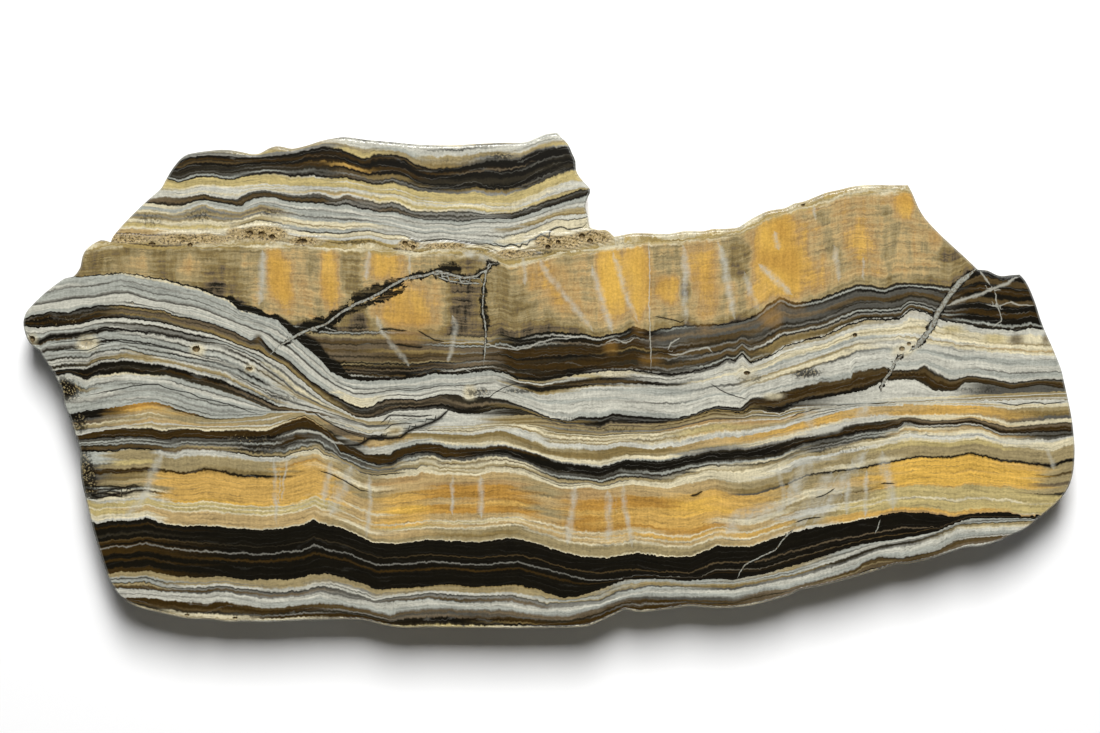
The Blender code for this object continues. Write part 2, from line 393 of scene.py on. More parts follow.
def build_slab():
    """The slab's mesh: face, walls and back, with its sharp edges marked."""
    faces, walls, back = face_triangles(), wall_faces(), back_triangles()
    mesh = bpy.data.meshes.new("calcite_slab")
    mesh.from_pydata([tuple(point) for point in POINTS], [], faces + walls + back)
    mesh.update()
    lay_out_map(mesh, (len(faces), len(walls), len(back)))
    mesh.shade_smooth()
    mesh.set_sharp_from_angle(angle=SHARP_FROM)
    piece = bpy.data.objects.new("calcite_slab", mesh)
    bpy.context.collection.objects.link(piece)
    return piece


slab = build_slab()
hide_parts("slab")
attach(slab, "root")

# The stone's material
# Calcite laid down as hundreds of thin beds. Its colours follow a core log, read down
# through the beds, and the fine growth lines come from a noise drawn out along them.
stone = bpy.data.materials.new("zebra_calcite")
stone.use_nodes = True
nodes, links = stone.node_tree.nodes, stone.node_tree.links
surface = nodes["Principled BSDF"]
slab.data.materials.append(stone)


def plug(socket, value):
    """Give a socket a number, a colour or another node's output."""
    if isinstance(value, bpy.types.NodeSocket):
        links.new(value, socket)
    else:
        socket.default_value = value


def reckon(operation, *values, clamp=False):
    """One step of arithmetic."""
    node = nodes.new("ShaderNodeMath")
    node.operation = operation
    node.use_clamp = clamp
    for socket, value in zip(node.inputs, values):
        plug(socket, value)
    return node.outputs[0]


def times(value, scale, clamp=False):
    """A value times a scale."""
    return reckon("MULTIPLY", value, scale, clamp=clamp)


def scaled(value, scale, lift, clamp=False):
    """A value times a scale, plus a lift."""
    return reckon("MULTIPLY_ADD", value, scale, lift, clamp=clamp)


def swing(value):
    """How far a grain lies to either side of its middle."""
    return reckon("SUBTRACT", value, 0.5)


def fade(value, start, end):
    """Runs smoothly from 0 at start to 1 at end."""
    node = nodes.new("ShaderNodeMapRange")
    node.interpolation_type = "SMOOTHSTEP"
    node.clamp = False
    for name, entry in [("Value", value), ("From Min", start), ("From Max", end)]:
        plug(node.inputs[name], entry)
    return node.outputs["Result"]


def fade_even(value, start, end):
    """Runs evenly from 0 at start to 1 at end."""
    return scaled(value, 1.0 / (end - start), -start / (end - start))


def lay_over(share, under, over, kind="MIX"):
    """One colour over another, by a share."""
    node = nodes.new("ShaderNodeMix")
    node.data_type = "RGBA"
    node.blend_type = kind
    plug(node.inputs[0], share)
    plug(node.inputs[6], under)
    plug(node.inputs[7], over)
    return node.outputs[2]


def mark(name, values):
    """Write a reading on every point of the stone, and read it in the material."""
    slab.data.attributes.new(name, "FLOAT", "POINT").data.foreach_set("value", values.astype(np.float32))
    node = nodes.new("ShaderNodeAttribute")
    node.attribute_name = name
    return node.outputs["Fac"]


def grain(vector, size, detail=2.0, rough=0.5):
    """Soft random grain between 0 and 1, of a size in squares."""
    node = nodes.new("ShaderNodeTexNoise")
    plug(node.inputs["Vector"], vector)
    plug(node.inputs["Scale"], 1.0 / size)
    plug(node.inputs["Detail"], detail)
    plug(node.inputs["Roughness"], rough)
    return node.outputs["Fac"]


def three_ways(x, y, z):
    """Three values as one place or colour."""
    node = nodes.new("ShaderNodeCombineXYZ")
    for socket, value in zip(node.inputs, (x, y, z)):
        plug(socket, value)
    return node.outputs[0]


def squares_of_stone():
    """The stone's own place in squares."""
    place = nodes.new("ShaderNodeTexCoord")
    node = nodes.new("ShaderNodeVectorMath")
    node.operation = "SCALE"
    links.new(place.outputs["Object"], node.inputs[0])
    node.inputs["Scale"].default_value = 1.0 / SQUARE
    return node.outputs[0]


PLACE = squares_of_stone()


def drawn_out(vector, x, y, z):
    """A place, squeezed or drawn out along each axis."""
    node = nodes.new("ShaderNodeVectorMath")
    node.operation = "MULTIPLY"
    plug(node.inputs[0], vector)
    plug(node.inputs[1], (x, y, z))
    return node.outputs[0]


across = mark("across", ACROSS)
CRINKLE = swing(grain(PLACE, 0.9, 3.0, 0.65))
RIPPLE = swing(grain(drawn_out(PLACE, 1.0, 0.4, 0.4), 1.0, 3.0, 0.6))
SERRATION = swing(grain(drawn_out(PLACE, 1.0, 0.5, 0.5), 0.3, 2.0, 0.6))
BED_WOBBLE = scaled(RIPPLE, 0.44, times(SERRATION, 0.36))
WANDER = swing(grain(PLACE, 7.0, 2.0, 0.5))
fingers = swing(grain(drawn_out(PLACE, 0.15, 2.0, 1.0), 1.0, 2.0, 0.5))
wandering_across = scaled(WANDER, 7.0, scaled(fingers, 8.0, across))


def along_beds(depth, reach, thickness, slice_through):
    """A place among the beds, for grain that is drawn out along them."""
    return three_ways(times(across, reach), times(depth, thickness), slice_through)


COLOUR = {
    "black": (20, 17, 9), "soot": (46, 41, 29), "umber": (58, 42, 14), "brown": (84, 68, 40),
    "earth": (110, 96, 74), "olive": (134, 115, 72), "ash": (132, 130, 120), "slate": (88, 86, 78),
    "dove": (173, 175, 164), "bone": (201, 199, 184), "cream": (222, 211, 176),
    "butter": (193, 175, 118), "tan": (190, 163, 112), "khaki": (160, 144, 104), "fawn": (180, 148, 98),
    "amber": (208, 167, 90), "ochre": (184, 138, 64), "glow": (224, 179, 84), "crust": (170, 148, 92),
}
GIVEN_BACK = 0.84
# In squares: the least gap between bed lines, the thickest bed drawn as a thread, and
# the widest soft edge of a bed.
LEAST_GAP = 0.04
THREAD = 0.16
SOFT_EDGE = 0.07


def as_light(colour):
    """From a colour as the eye reads it, 0 to 255, to the light it gives back."""
    return tuple(GIVEN_BACK * ((part / 255.0 + 0.055) / 1.055) ** 2.4 for part in colour) + (1.0,)


def tint(share, under, name):
    """A named colour over another colour, by a share."""
    return lay_over(share, under, as_light(COLOUR[name]))


def line_across(line):
    """How far down a traced bed line lies at every point of the stone."""
    return np.interp(ACROSS, [point[0] for point in line], [point[1] for point in line])


def depth_through(lines):
    """Depth below the first bed line, even between lines, and each line's usual depth."""
    heights = [line_across(line) for line in lines]
    for upper, lower in zip(heights, heights[1:]):
        np.maximum(lower, upper + LEAST_GAP, out=lower)
    depth, levels = np.zeros(len(ACROSS)), [0.0]
    for upper, lower in zip(heights, heights[1:]):
        thick = (lower - upper)[ON_FACE]
        usual = float(np.mean(thick[thick > 0.5 * np.max(thick)]))
        depth += usual * np.clip((DOWN - upper) / (lower - upper), 0.0, 1.0)
        levels.append(levels[-1] + usual)
    return depth, levels


def read_log(log, levels):
    """Ramp stops from a core log: colours with thickness, and / at each bed line."""
    stops = []
    for part, top, base in zip(log.split("/"), levels, levels[1:]):
        beds = [bed.split() for bed in part.split(",")]
        share = (base - top) / sum(float(thick) for _, thick in beds)
        for name, thick in beds:
            thick = float(thick) * share
            soft = min(0.3 * thick, SOFT_EDGE)
            if thick < THREAD:
                stops.append((top + thick / 2.0, name))
            else:
                stops += [(top + soft, name), (top + thick - soft, name)]
            top += thick
    return stops


MOST_STOPS = 31


def ramp_of(value, stops):
    """Colour from a row of levels with colour names, even between them."""
    start, end = stops[0][0], stops[-1][0]
    place = fade_even(value, start, end)
    node = nodes.new("ShaderNodeValToRGB")
    links.new(place, node.inputs[0])
    ramp = node.color_ramp.elements
    for level, _ in stops[1:-1]:
        ramp.new((level - start) / (end - start))
    ramp.foreach_set("color", [part for _, name in stops for part in as_light(COLOUR[name])])
    return node.outputs[0]


def colour_down(depth, levels, log):
    """Colour at a depth by a core log, in as many ramps as it takes."""
    stops = read_log(log, levels)
    colour = None
    for first in range(0, len(stops), MOST_STOPS - 1):
        run = stops[first:first + MOST_STOPS]
        start, end = run[0][0], run[-1][0]
        if end - start < 1e-4:
            continue
        if colour is None:
            colour = ramp_of(depth, run)
        else:
            colour = lay_over(reckon("GREATER_THAN", depth, start), colour, ramp_of(depth, run))
    return colour


def beds_along(depth, levels, cores):
    """Colour of a pack of beds, from core logs at places along it."""
    place, log = cores[0]
    colour = colour_down(depth, levels, log)
    for next_place, log in cores[1:]:
        share = fade(wandering_across, place, next_place)
        colour = lay_over(share, colour, colour_down(depth, levels, log))
        place = next_place
    return colour


# The upper block
# The youngest beds, at the top of the seam: a dark pack with a butter-coloured bed
# under it, then thin grey, cream and brown beds down to a spongy crust.
BLOCK_LINES = [
    BLOCK_TOP,
    [(17.8, 16.1), (19.0, 15.6), (21.0, 15.45), (24.0, 15.7), (26.2, 15.65), (28.0, 15.5), (30.0, 15.1),
     (31.0, 14.85), (32.0, 14.7), (32.6, 14.55), (34.0, 14.8), (35.0, 15.3), (36.0, 15.7), (37.0, 15.8),
     (37.2, 15.4), (39.0, 15.4), (40.5, 15.7), (41.5, 16.4), (43.0, 16.8), (45.5, 16.8), (46.5, 16.6),
     (48.3, 16.3), (48.6, 16.05), (52.0, 15.9), (53.0, 15.4), (53.8, 15.0), (55.5, 14.7), (56.3, 14.55),
     (57.0, 14.7)],
    [(16.6, 17.9), (17.8, 18.3), (19.5, 17.8), (21.5, 17.75), (22.5, 18.0), (23.3, 18.1), (24.5, 17.6),
     (26.5, 17.4), (27.5, 17.4), (29.2, 17.75), (31.0, 17.6), (33.3, 17.9), (34.5, 17.75), (36.0, 18.2),
     (37.5, 18.55), (39.4, 18.35), (40.6, 18.7), (41.8, 19.2), (44.5, 19.3), (46.0, 19.4), (47.5, 19.2),
     (48.8, 19.6), (50.5, 19.6), (51.8, 19.2), (53.2, 18.7), (55.0, 17.8), (56.8, 17.15),
     (57.5, 17.05)],
    [(16.5, 19.0), (18.0, 19.1), (20.0, 18.8), (24.0, 18.9), (26.2, 18.65), (29.0, 18.8), (34.5, 18.9),
     (36.5, 19.25), (38.5, 19.5), (40.0, 19.6), (41.5, 20.3), (44.5, 20.6), (46.0, 20.4), (48.0, 20.5),
     (50.0, 20.8), (51.5, 20.8), (53.5, 19.9), (55.5, 19.15), (57.0, 18.8)],
    [(15.0, 19.9), (16.5, 19.6), (17.5, 19.8), (19.2, 19.55), (20.3, 19.4), (21.5, 19.7), (23.5, 19.95),
     (25.0, 19.2), (26.5, 18.95), (28.0, 19.3), (30.0, 19.55), (31.8, 19.25), (33.5, 19.8),
     (34.7, 19.4), (36.0, 19.8), (37.8, 20.3), (39.7, 20.2), (41.2, 21.1), (45.0, 21.15), (46.8, 21.05),
     (48.3, 21.4), (51.2, 21.35), (53.0, 20.65), (55.0, 19.95), (57.0, 19.3), (58.5, 18.6)],
    [(14.5, 20.3), (17.0, 20.65), (18.0, 20.7), (19.5, 20.15), (20.3, 20.05), (22.2, 20.35),
     (24.0, 20.7), (25.5, 19.9), (27.0, 19.7), (29.0, 20.2), (32.2, 20.4), (33.7, 20.65), (34.3, 20.4),
     (35.8, 20.85), (37.5, 21.3), (39.5, 21.3), (41.2, 21.8), (42.8, 22.05), (45.2, 22.15),
     (46.0, 22.3), (48.5, 21.85), (51.5, 21.95), (53.0, 21.4), (55.0, 20.7), (57.0, 20.1),
     (59.0, 19.45)],
    [(15.1, 20.9), (17.5, 21.3), (19.0, 20.8), (20.3, 20.3), (21.5, 20.8), (24.0, 21.2), (26.2, 20.4),
     (30.0, 21.3), (34.5, 21.6), (37.0, 21.9), (39.0, 22.1), (41.0, 22.65), (42.5, 22.9), (44.0, 22.75),
     (45.5, 23.1), (47.5, 22.75), (50.5, 22.85), (52.0, 22.4), (53.8, 21.9), (55.5, 21.2),
     (57.5, 21.0)],
    [(14.0, 22.9), (20.0, 23.3), (22.5, 23.2), (24.5, 22.75), (25.5, 22.4), (26.5, 22.4), (28.5, 22.9),
     (31.0, 23.3), (34.0, 23.45), (37.0, 23.1), (38.5, 23.5), (40.5, 23.6), (41.6, 24.1), (44.5, 23.9),
     (47.0, 24.25), (49.0, 24.4), (50.5, 24.7), (52.2, 24.4), (54.1, 23.5), (55.6, 22.8), (56.7, 22.9),
     (58.3, 22.7), (59.0, 22.1)],
    [(11.2, 24.3), (13.0, 24.7), (16.0, 25.0), (18.0, 24.9), (20.0, 24.3), (22.0, 24.0), (25.0, 23.95),
     (28.0, 24.1), (30.3, 24.6), (32.0, 24.2), (34.0, 24.5), (37.0, 24.25), (38.8, 24.8), (41.8, 25.25),
     (43.5, 24.9), (45.2, 24.85), (48.0, 25.0), (49.2, 25.6), (50.2, 26.4), (51.5, 26.3), (54.5, 25.7),
     (56.0, 25.2), (58.0, 25.0), (61.0, 24.7)],
]
BLOCK_DEPTH, BLOCK_LEVELS = depth_through(BLOCK_LINES)
block_depth = reckon("ADD", BED_WOBBLE, mark("block_depth", BLOCK_DEPTH))
BLOCK_CORES = [
    (15.0, "slate 1 / soot 1 / butter 1 / bone 1 / earth 2, soot 1 / cream 2, dove 2 "
           "/ cream 3, khaki 3, ash 2, khaki 3, cream 4, khaki 1, butter 4, cream 3 "
           "/ tan 3, brown 1, tan 2, crust 4, brown 1, crust 2"),
    (20.0, "ash 3, slate 2, ash 2 / black 3, umber 2, soot 1, brown 2, black 3, soot 2, black 1, "
           "soot 3, slate 1, soot 2, dove 1.5, black 2 / butter 9, cream 2, bone 1.5 "
           "/ bone 3, cream 1, bone 2 / soot 2, brown 2, soot 1, black 1.5 "
           "/ dove 3, ash 0.8, dove 3, bone 2 "
           "/ khaki 2, ash 2, khaki 3, ash 2, khaki 2, cream 4, butter 3, cream 3 "
           "/ cream 3, ash 1, cream 2, crust 4, brown 1, crust 3"),
    (26.2, "khaki 1, butter 2, ash 2 "
           "/ black 2.5, umber 3, black 3, soot 2, slate 1, soot 3, dove 1.2, soot 1, black 2 "
           "/ butter 9, bone 1.5, butter 1 / bone 2, cream 1.5, bone 1 "
           "/ slate 2, soot 1, brown 3, black 1.5 / dove 3, bone 1.5, ash 0.8, dove 2 "
           "/ khaki 2, earth 2, khaki 2, ash 2, cream 2, khaki 3, soot 0.8, cream 3 "
           "/ cream 2, crust 3, brown 2, crust 3, brown 1, crust 4"),
    (30.5, "khaki 3, ash 2 "
           "/ black 4, umber 2, black 3, umber 3, soot 2, slate 1, soot 1, slate 1, black 2 "
           "/ bone 1, butter 7, bone 2 / bone 1, khaki 2, bone 1 "
           "/ slate 2, soot 1, brown 2, black 1.5 / dove 3, bone 2, slate 0.8, dove 3 "
           "/ dove 2, slate 1, dove 3, cream 3, olive 0.8, cream 2, dove 3, soot 1.5 "
           "/ cream 3, bone 2, olive 1, cream 3, crust 3, brown 1"),
    (34.5, "soot 0.6, bone 5, khaki 2, butter 3 / black 3, umber 2, black 4, umber 2, amber 2.5, "
           "black 2, brown 3, ash 1, brown 2, black 2 / butter 3, bone 1, butter 5, bone 2 "
           "/ bone 2, khaki 2, tan 1, bone 2 / earth 3, soot 1, ash 2, black 2 "
           "/ dove 3, bone 3, slate 0.8, dove 2 "
           "/ bone 2, slate 2, dove 2, cream 4, olive 0.8, cream 2, dove 3, soot 1.5 "
           "/ cream 4, khaki 1, bone 4, crust 3, brown 1, crust 2"),
    (40.0, "soot 0.8, bone 4, dove 3, khaki 3 "
           "/ black 2, brown 1, black 6, umber 3, black 3, olive 3, black 1, ash 1, soot 2 "
           "/ butter 5, bone 1, butter 4, bone 1 / cream 3, butter 4, cream 2 "
           "/ soot 1.5, ash 3, soot 1, earth 2, black 2 / dove 2, bone 2, slate 0.8, bone 2, dove 2 "
           "/ bone 3, dove 2, slate 0.8, bone 4, ash 1, bone 3, soot 1 "
           "/ cream 3, khaki 1, bone 4, crust 3, brown 1"),
    (44.5, "cream 1, bone 2, black 1, bone 4, khaki 5, olive 3 "
           "/ black 4, umber 2, black 4, soot 4, black 3, slate 1, black 1.5, slate 3 "
           "/ butter 7, bone 1, butter 1, bone 1 / cream 3, butter 4, cream 3 "
           "/ soot 1.5, ash 3, soot 1, slate 2, ash 1, black 2 / dove 3, slate 0.8, bone 3, dove 2 "
           "/ bone 3, dove 2, slate 0.8, bone 4, ash 1, bone 2, soot 1 "
           "/ bone 3, cream 4, khaki 1, crust 2"),
    (49.5, "khaki 1, soot 0.6, bone 5, khaki 3, ash 2, slate 2 "
           "/ black 6, earth 0.8, black 6, soot 4, black 4, olive 2, ash 2 / butter 9, bone 1 "
           "/ cream 3, butter 3, bone 3 / black 1.5, ash 2, soot 1, ash 2, black 2 "
           "/ dove 3, slate 0.8, bone 4, dove 1 / bone 3, ash 1, bone 2, slate 0.8, bone 3, dove 3 "
           "/ soot 1, cream 3, olive 1, cream 2, crust 4"),
    (53.0, "bone 4, ash 1, bone 2, khaki 3, slate 1 "
           "/ black 8, slate 1, black 4, soot 3, black 4, slate 1, soot 3 / butter 5, cream 3 "
           "/ bone 3, butter 2, khaki 1 / soot 2, slate 1.5, soot 2, black 1.5 "
           "/ dove 3, slate 0.8, bone 3 / khaki 2, olive 1, bone 2, slate 0.8, cream 5, dove 1 "
           "/ cream 4, khaki 2, crust 6"),
    (57.0, "dove 2, bone 4, khaki 2, butter 2, bone 1 "
           "/ black 7, soot 2, black 5, soot 3, black 2, slate 1 / butter 6, bone 4 "
           "/ bone 2, khaki 2, butter 1 / soot 2, slate 1, soot 2, black 2 "
           "/ dove 3, ash 1, bone 3, khaki 2 / khaki 2, olive 1.2, bone 3, soot 0.8, cream 6 "
           "/ cream 5, khaki 1, crust 7"),
]
block_colour = beds_along(block_depth, BLOCK_LEVELS, BLOCK_CORES)

# The upper amber band
# Clear amber calcite in level growth lines, clouded brown and grey between its brighter
# windows, over a dark pack that lies on the old floor of the seam.
AMBER_ROOF = [
    (6.0, 25.6), (11.2, 24.3), (20.0, 24.3), (30.0, 24.4), (41.0, 25.1), (48.0, 25.0), (51.0, 26.3),
    (56.0, 25.2), (61.0, 24.5), (65.0, 23.9), (70.0, 23.6), (74.0, 23.0), (77.0, 21.5), (80.0, 20.5),
    (85.0, 19.1), (90.0, 18.7), (96.0, 19.6), (104.0, 20.5),
]
DARK_PACK_TOP = [
    (6.0, 30.0), (15.0, 31.5), (30.0, 32.5), (32.0, 33.0), (35.5, 33.2), (37.0, 33.0), (40.0, 33.05),
    (44.5, 33.5), (49.0, 33.8), (50.0, 33.3), (51.5, 33.8), (53.0, 33.4), (55.0, 33.1), (58.0, 33.3),
    (60.0, 33.7), (60.8, 33.4), (62.0, 33.3), (63.3, 32.6), (65.0, 33.1), (68.2, 32.45), (72.2, 32.4),
    (74.2, 32.0), (75.7, 31.4), (77.0, 30.3), (78.0, 29.6), (79.0, 30.2), (80.5, 30.2), (82.0, 29.8),
    (83.7, 29.2), (85.5, 28.45), (87.0, 28.5), (88.5, 28.8), (89.7, 28.2), (92.0, 28.3), (95.0, 28.6),
    (95.8, 28.1), (97.8, 27.0), (100.0, 27.5), (104.0, 28.0),
]
SEAM_FLOOR = [
    (2.0, 28.8), (7.2, 27.7), (8.5, 27.75), (9.5, 27.6), (10.5, 27.5), (12.2, 27.3), (13.0, 27.45),
    (14.7, 27.8), (16.5, 28.05), (18.0, 28.5), (19.7, 28.85), (21.3, 29.5), (22.8, 30.0), (24.0, 31.05),
    (25.2, 31.3), (26.8, 31.8), (27.7, 32.0), (29.5, 33.8), (30.5, 34.7), (32.0, 35.9), (33.0, 37.15),
    (34.5, 37.9), (36.8, 38.15), (40.5, 37.95), (42.0, 37.75), (43.5, 37.35), (45.5, 37.5),
    (47.5, 37.2), (49.0, 37.05), (50.5, 37.35), (51.7, 37.9), (54.2, 38.1), (57.0, 37.6), (60.0, 37.15),
    (63.0, 37.1), (67.0, 37.6), (70.0, 37.1), (71.8, 36.6), (72.7, 36.0), (73.5, 36.2), (74.2, 35.4),
    (75.0, 36.4), (77.0, 35.7), (78.5, 34.7), (80.8, 34.0), (82.5, 33.7), (84.5, 32.7), (86.5, 32.1),
    (90.0, 32.0), (91.0, 31.0), (92.5, 31.3), (93.0, 31.6), (94.2, 32.1), (96.5, 32.4), (98.0, 32.8),
    (101.5, 33.1), (103.0, 32.8), (104.3, 33.0),
]
# To the left the pack's base is hidden by the belt, and from here on it is the floor.
PACK_MEETS_FLOOR = 40.0
DARK_PACK_BASE = [(6.0, 34.5), (20.0, 36.2), (33.7, 37.65)] + [
    point for point in SEAM_FLOOR if point[0] > PACK_MEETS_FLOOR]
AMBER_LINES = [AMBER_ROOF, DARK_PACK_TOP, DARK_PACK_BASE]
AMBER_DEPTH, AMBER_LEVELS = depth_through(AMBER_LINES)
amber_depth = reckon("ADD", BED_WOBBLE, mark("amber_depth", AMBER_DEPTH))
RAGGED_WIDTH = 0.0055
RAGGED_DEPTH = 0.35
ROUNDNESS = 2.4
RAGGED = np.array([noise.noise(Vector(point) / RAGGED_WIDTH) for point in POINTS]) * RAGGED_DEPTH


def patches(spots):
    """How far each point lies inside soft-edged, leaning, ragged patches."""
    share = np.zeros(len(ACROSS))
    for place, down, half_width, half_height, lean, strength in spots:
        sideways = np.abs((ACROSS - place - lean * (DOWN - down)) / half_width)
        upright = np.abs((DOWN - down) / half_height)
        reach = (sideways ** ROUNDNESS + upright ** ROUNDNESS) ** (1.0 / ROUNDNESS) + RAGGED
        near = np.clip((1.5 - reach) / 1.1, 0.0, 1.0)
        share = np.maximum(share, strength * near * near * (3.0 - 2.0 * near))
    return share


# How clear the calcite is along the band, then its clear windows and its brown clouds,
# each by its middle, half width, half height, lean and strength.
CLEARNESS = [
    (8.0, 0.28), (13.0, 0.33), (16.0, 0.29), (18.5, 0.34), (22.0, 0.29), (27.0, 0.47), (33.0, 0.46),
    (36.0, 0.40), (40.0, 0.50), (44.0, 0.38), (48.0, 0.32), (53.0, 0.42), (57.0, 0.42), (60.0, 0.52),
    (66.0, 0.43), (70.0, 0.45), (74.0, 0.42), (78.0, 0.58), (84.0, 0.52), (90.0, 0.50), (95.0, 0.36),
    (98.0, 0.20),
]
WINDOWS = [
    (13.4, 26.3, 1.6, 1.0, 0.0, 0.28), (18.8, 26.9, 1.5, 0.9, 0.0, 0.22),
    (28.0, 28.0, 1.1, 2.9, 0.1, 0.8), (33.0, 27.8, 0.9, 3.2, 0.0, 0.7),
    (38.2, 26.2, 1.9, 1.9, 0.0, 0.9), (41.2, 31.0, 3.0, 2.9, -0.1, 0.72),
    (61.0, 27.8, 1.3, 3.8, 0.15, 1.0), (63.8, 28.0, 1.2, 4.2, 0.1, 1.0),
    (66.8, 28.8, 1.2, 1.3, 0.0, 0.8), (70.2, 28.0, 1.5, 4.0, 0.0, 0.55),
    (77.6, 25.8, 2.4, 4.2, 0.1, 1.1), (90.2, 20.5, 1.0, 1.3, 0.0, 0.8),
    (77.0, 31.6, 1.1, 1.1, 0.0, 0.5), (61.1, 34.7, 0.7, 0.6, 0.0, 0.4),
    (65.0, 36.0, 1.1, 0.5, 0.0, 0.3), (56.0, 28.5, 1.6, 3.0, 0.3, 0.45),
    (53.0, 27.5, 1.2, 1.8, 0.0, 0.35), (76.0, 29.2, 1.4, 1.4, 0.0, 0.6),
    (81.5, 27.0, 1.6, 2.0, 0.0, 0.4), (85.5, 24.0, 1.2, 1.6, 0.0, 0.3),
    (93.5, 24.2, 0.9, 1.0, 0.0, 0.3),
]
CLOUDS = [
    (10.0, 25.8, 2.0, 1.3, 0.0, 0.15), (15.8, 27.5, 0.9, 2.5, 0.0, 0.12),
    (22.5, 28.4, 2.0, 1.8, 0.0, 0.22), (21.6, 29.0, 1.3, 1.0, 0.0, 0.5),
    (35.3, 27.0, 1.2, 2.4, 0.0, 0.19), (46.3, 30.0, 1.9, 3.8, 0.0, 0.5),
    (48.3, 30.4, 0.8, 2.8, 0.0, 0.3), (51.5, 30.4, 2.2, 3.0, 0.0, 0.26),
    (73.8, 25.0, 1.4, 1.2, 0.0, 0.35), (68.5, 28.8, 0.5, 1.2, 0.0, 0.7),
    (81.5, 21.7, 1.6, 0.5, 0.0, 0.25), (88.6, 21.1, 0.7, 0.5, 0.0, 0.35),
    (92.5, 24.6, 0.9, 0.6, 0.0, 0.3), (94.8, 25.5, 1.0, 0.8, 0.0, 0.35),
    (23.5, 30.5, 1.5, 0.6, 0.5, 0.6), (31.5, 33.2, 2.6, 0.7, -0.5, 1.1),
    (73.5, 26.8, 1.2, 1.0, 0.3, 0.4), (35.6, 32.2, 1.8, 1.3, 0.0, 0.4),
    (52.5, 32.3, 4.5, 1.2, 0.0, 0.3),
]
window = mark("window", patches(WINDOWS))
cloud = mark("cloud", patches(CLOUDS))
columns = grain(along_beds(amber_depth, 0.6, 0.14, 4.0), 1.0, 5.0, 0.68)
amber_lines = grain(along_beds(amber_depth, 0.2, 2.6, WANDER), 1.0, 3.0, 0.6)
cloudiness = scaled(window, -0.75, 1.0, clamp=True)
clearness = reckon("ADD", mark("clearness", line_across(CLEARNESS)), scaled(columns, 0.9, -0.45))
clearness = scaled(window, 0.42, clearness)
clearness = scaled(times(swing(amber_lines), cloudiness), 0.5, clearness)
clearness = scaled(times(cloud, scaled(amber_lines, -0.9, 1.2)), -0.7, clearness)
clearness = scaled(fade(amber_depth, AMBER_LEVELS[1] - 1.2, AMBER_LEVELS[1]), -0.22, clearness)
AMBER_SHADES = [
    (-0.15, "black"), (0.0, "soot"), (0.12, "earth"), (0.24, "olive"), (0.38, "khaki"), (0.5, "tan"),
    (0.6, "fawn"), (0.73, "amber"), (0.95, "glow"),
]
clear_colour = ramp_of(clearness, AMBER_SHADES)
deep = times(window, fade(grain(PLACE, 5.0, 1.0), 0.4, 0.62), clamp=True)
clear_colour = tint(times(deep, 0.7), clear_colour, "ochre")
roof_crust = fade(scaled(CRINKLE, 0.9, amber_depth), 0.75, 0.25)
clear_colour = lay_over(
    roof_crust, clear_colour, tint(fade(amber_lines, 0.4, 0.6), as_light(COLOUR["crust"]), "cream"))
PACK_CORES = [
    (10.0, "brown 6, earth 6, brown 8, earth 8"),
    (35.0, "soot 1, dove 1, soot 1.5, khaki 3, earth 2, brown 3, soot 1.2, earth 4, brown 3, "
           "earth 3, soot 1.5, earth 3, brown 1, black 2, khaki 0.8, black 2, brown 2, black 2, "
           "earth 1, black 2.5, bone 0.8, black 1"),
    (41.0, "earth 3, olive 4, earth 3, soot 1.2, earth 4, olive 3, brown 3, soot 1.2, brown 3, "
           "khaki 0.8, black 2, brown 1, black 2.5, earth 1, black 3, brown 1, black 2"),
    (46.5, "khaki 3, ash 1, olive 3, soot 1, dove 1, soot 1, earth 4, ash 1, brown 3, earth 3, "
           "soot 1, ash 1, earth 3, soot 1.5, bone 1, soot 2, ash 1"),
    (51.0, "black 5, soot 1, black 2, dove 1, soot 2, umber 6, black 2, umber 7, black 1, soot 2, "
           "umber 3, soot 2"),
    (57.5, "black 2, bone 1, black 4, earth 1, soot 2, umber 6, black 2, soot 2, umber 6, black 5"),
    (62.0, "black 4, umber 2, black 1, ash 1, umber 6, olive 1, soot 2, umber 6, soot 3, umber 3, "
           "ash 2"),
    (67.0, "black 1.5, dove 1, slate 3, earth 3, slate 3, soot 1, ash 1, umber 5, brown 2, ash 1, "
           "soot 3, brown 3, ash 1, soot 2, ash 2"),
    (73.0, "black 1.5, slate 2, earth 3, slate 2, brown 4, soot 2, ash 1, brown 3, soot 1.5, "
           "ash 1.2, brown 3, soot 2, dove 1, soot 2"),
    (79.5, "black 2, dove 1, soot 2, slate 4, earth 3, slate 3, soot 2, ash 1, soot 1.5, brown 2, "
           "bone 1, soot 1.5, olive 6, bone 1"),
    (86.0, "soot 2, dove 1, black 2, slate 3, brown 3, soot 2, slate 3, soot 1.5, dove 1, black 1.5, "
           "ash 1, brown 1.5, black 1.5, bone 2"),
    (92.5, "soot 2, dove 1, black 2, slate 3, brown 3, soot 2, slate 2, soot 1.5, ash 1, black 1.5, "
           "dove 1, brown 2, black 1.5, bone 1"),
    (97.5, "black 3, brown 3, black 2, umber 3, black 3, brown 3, black 4, umber 3, black 4, dove 1, "
           "soot 2"),
]
pack_colour = beds_along(amber_depth, AMBER_LEVELS[1:], PACK_CORES)
in_pack = fade(amber_depth, AMBER_LEVELS[1] - 0.05, AMBER_LEVELS[1] + 0.08)
pack_colour = tint(times(window, 0.75, clamp=True), pack_colour, "ochre")
amber_colour = lay_over(in_pack, clear_colour, pack_colour)

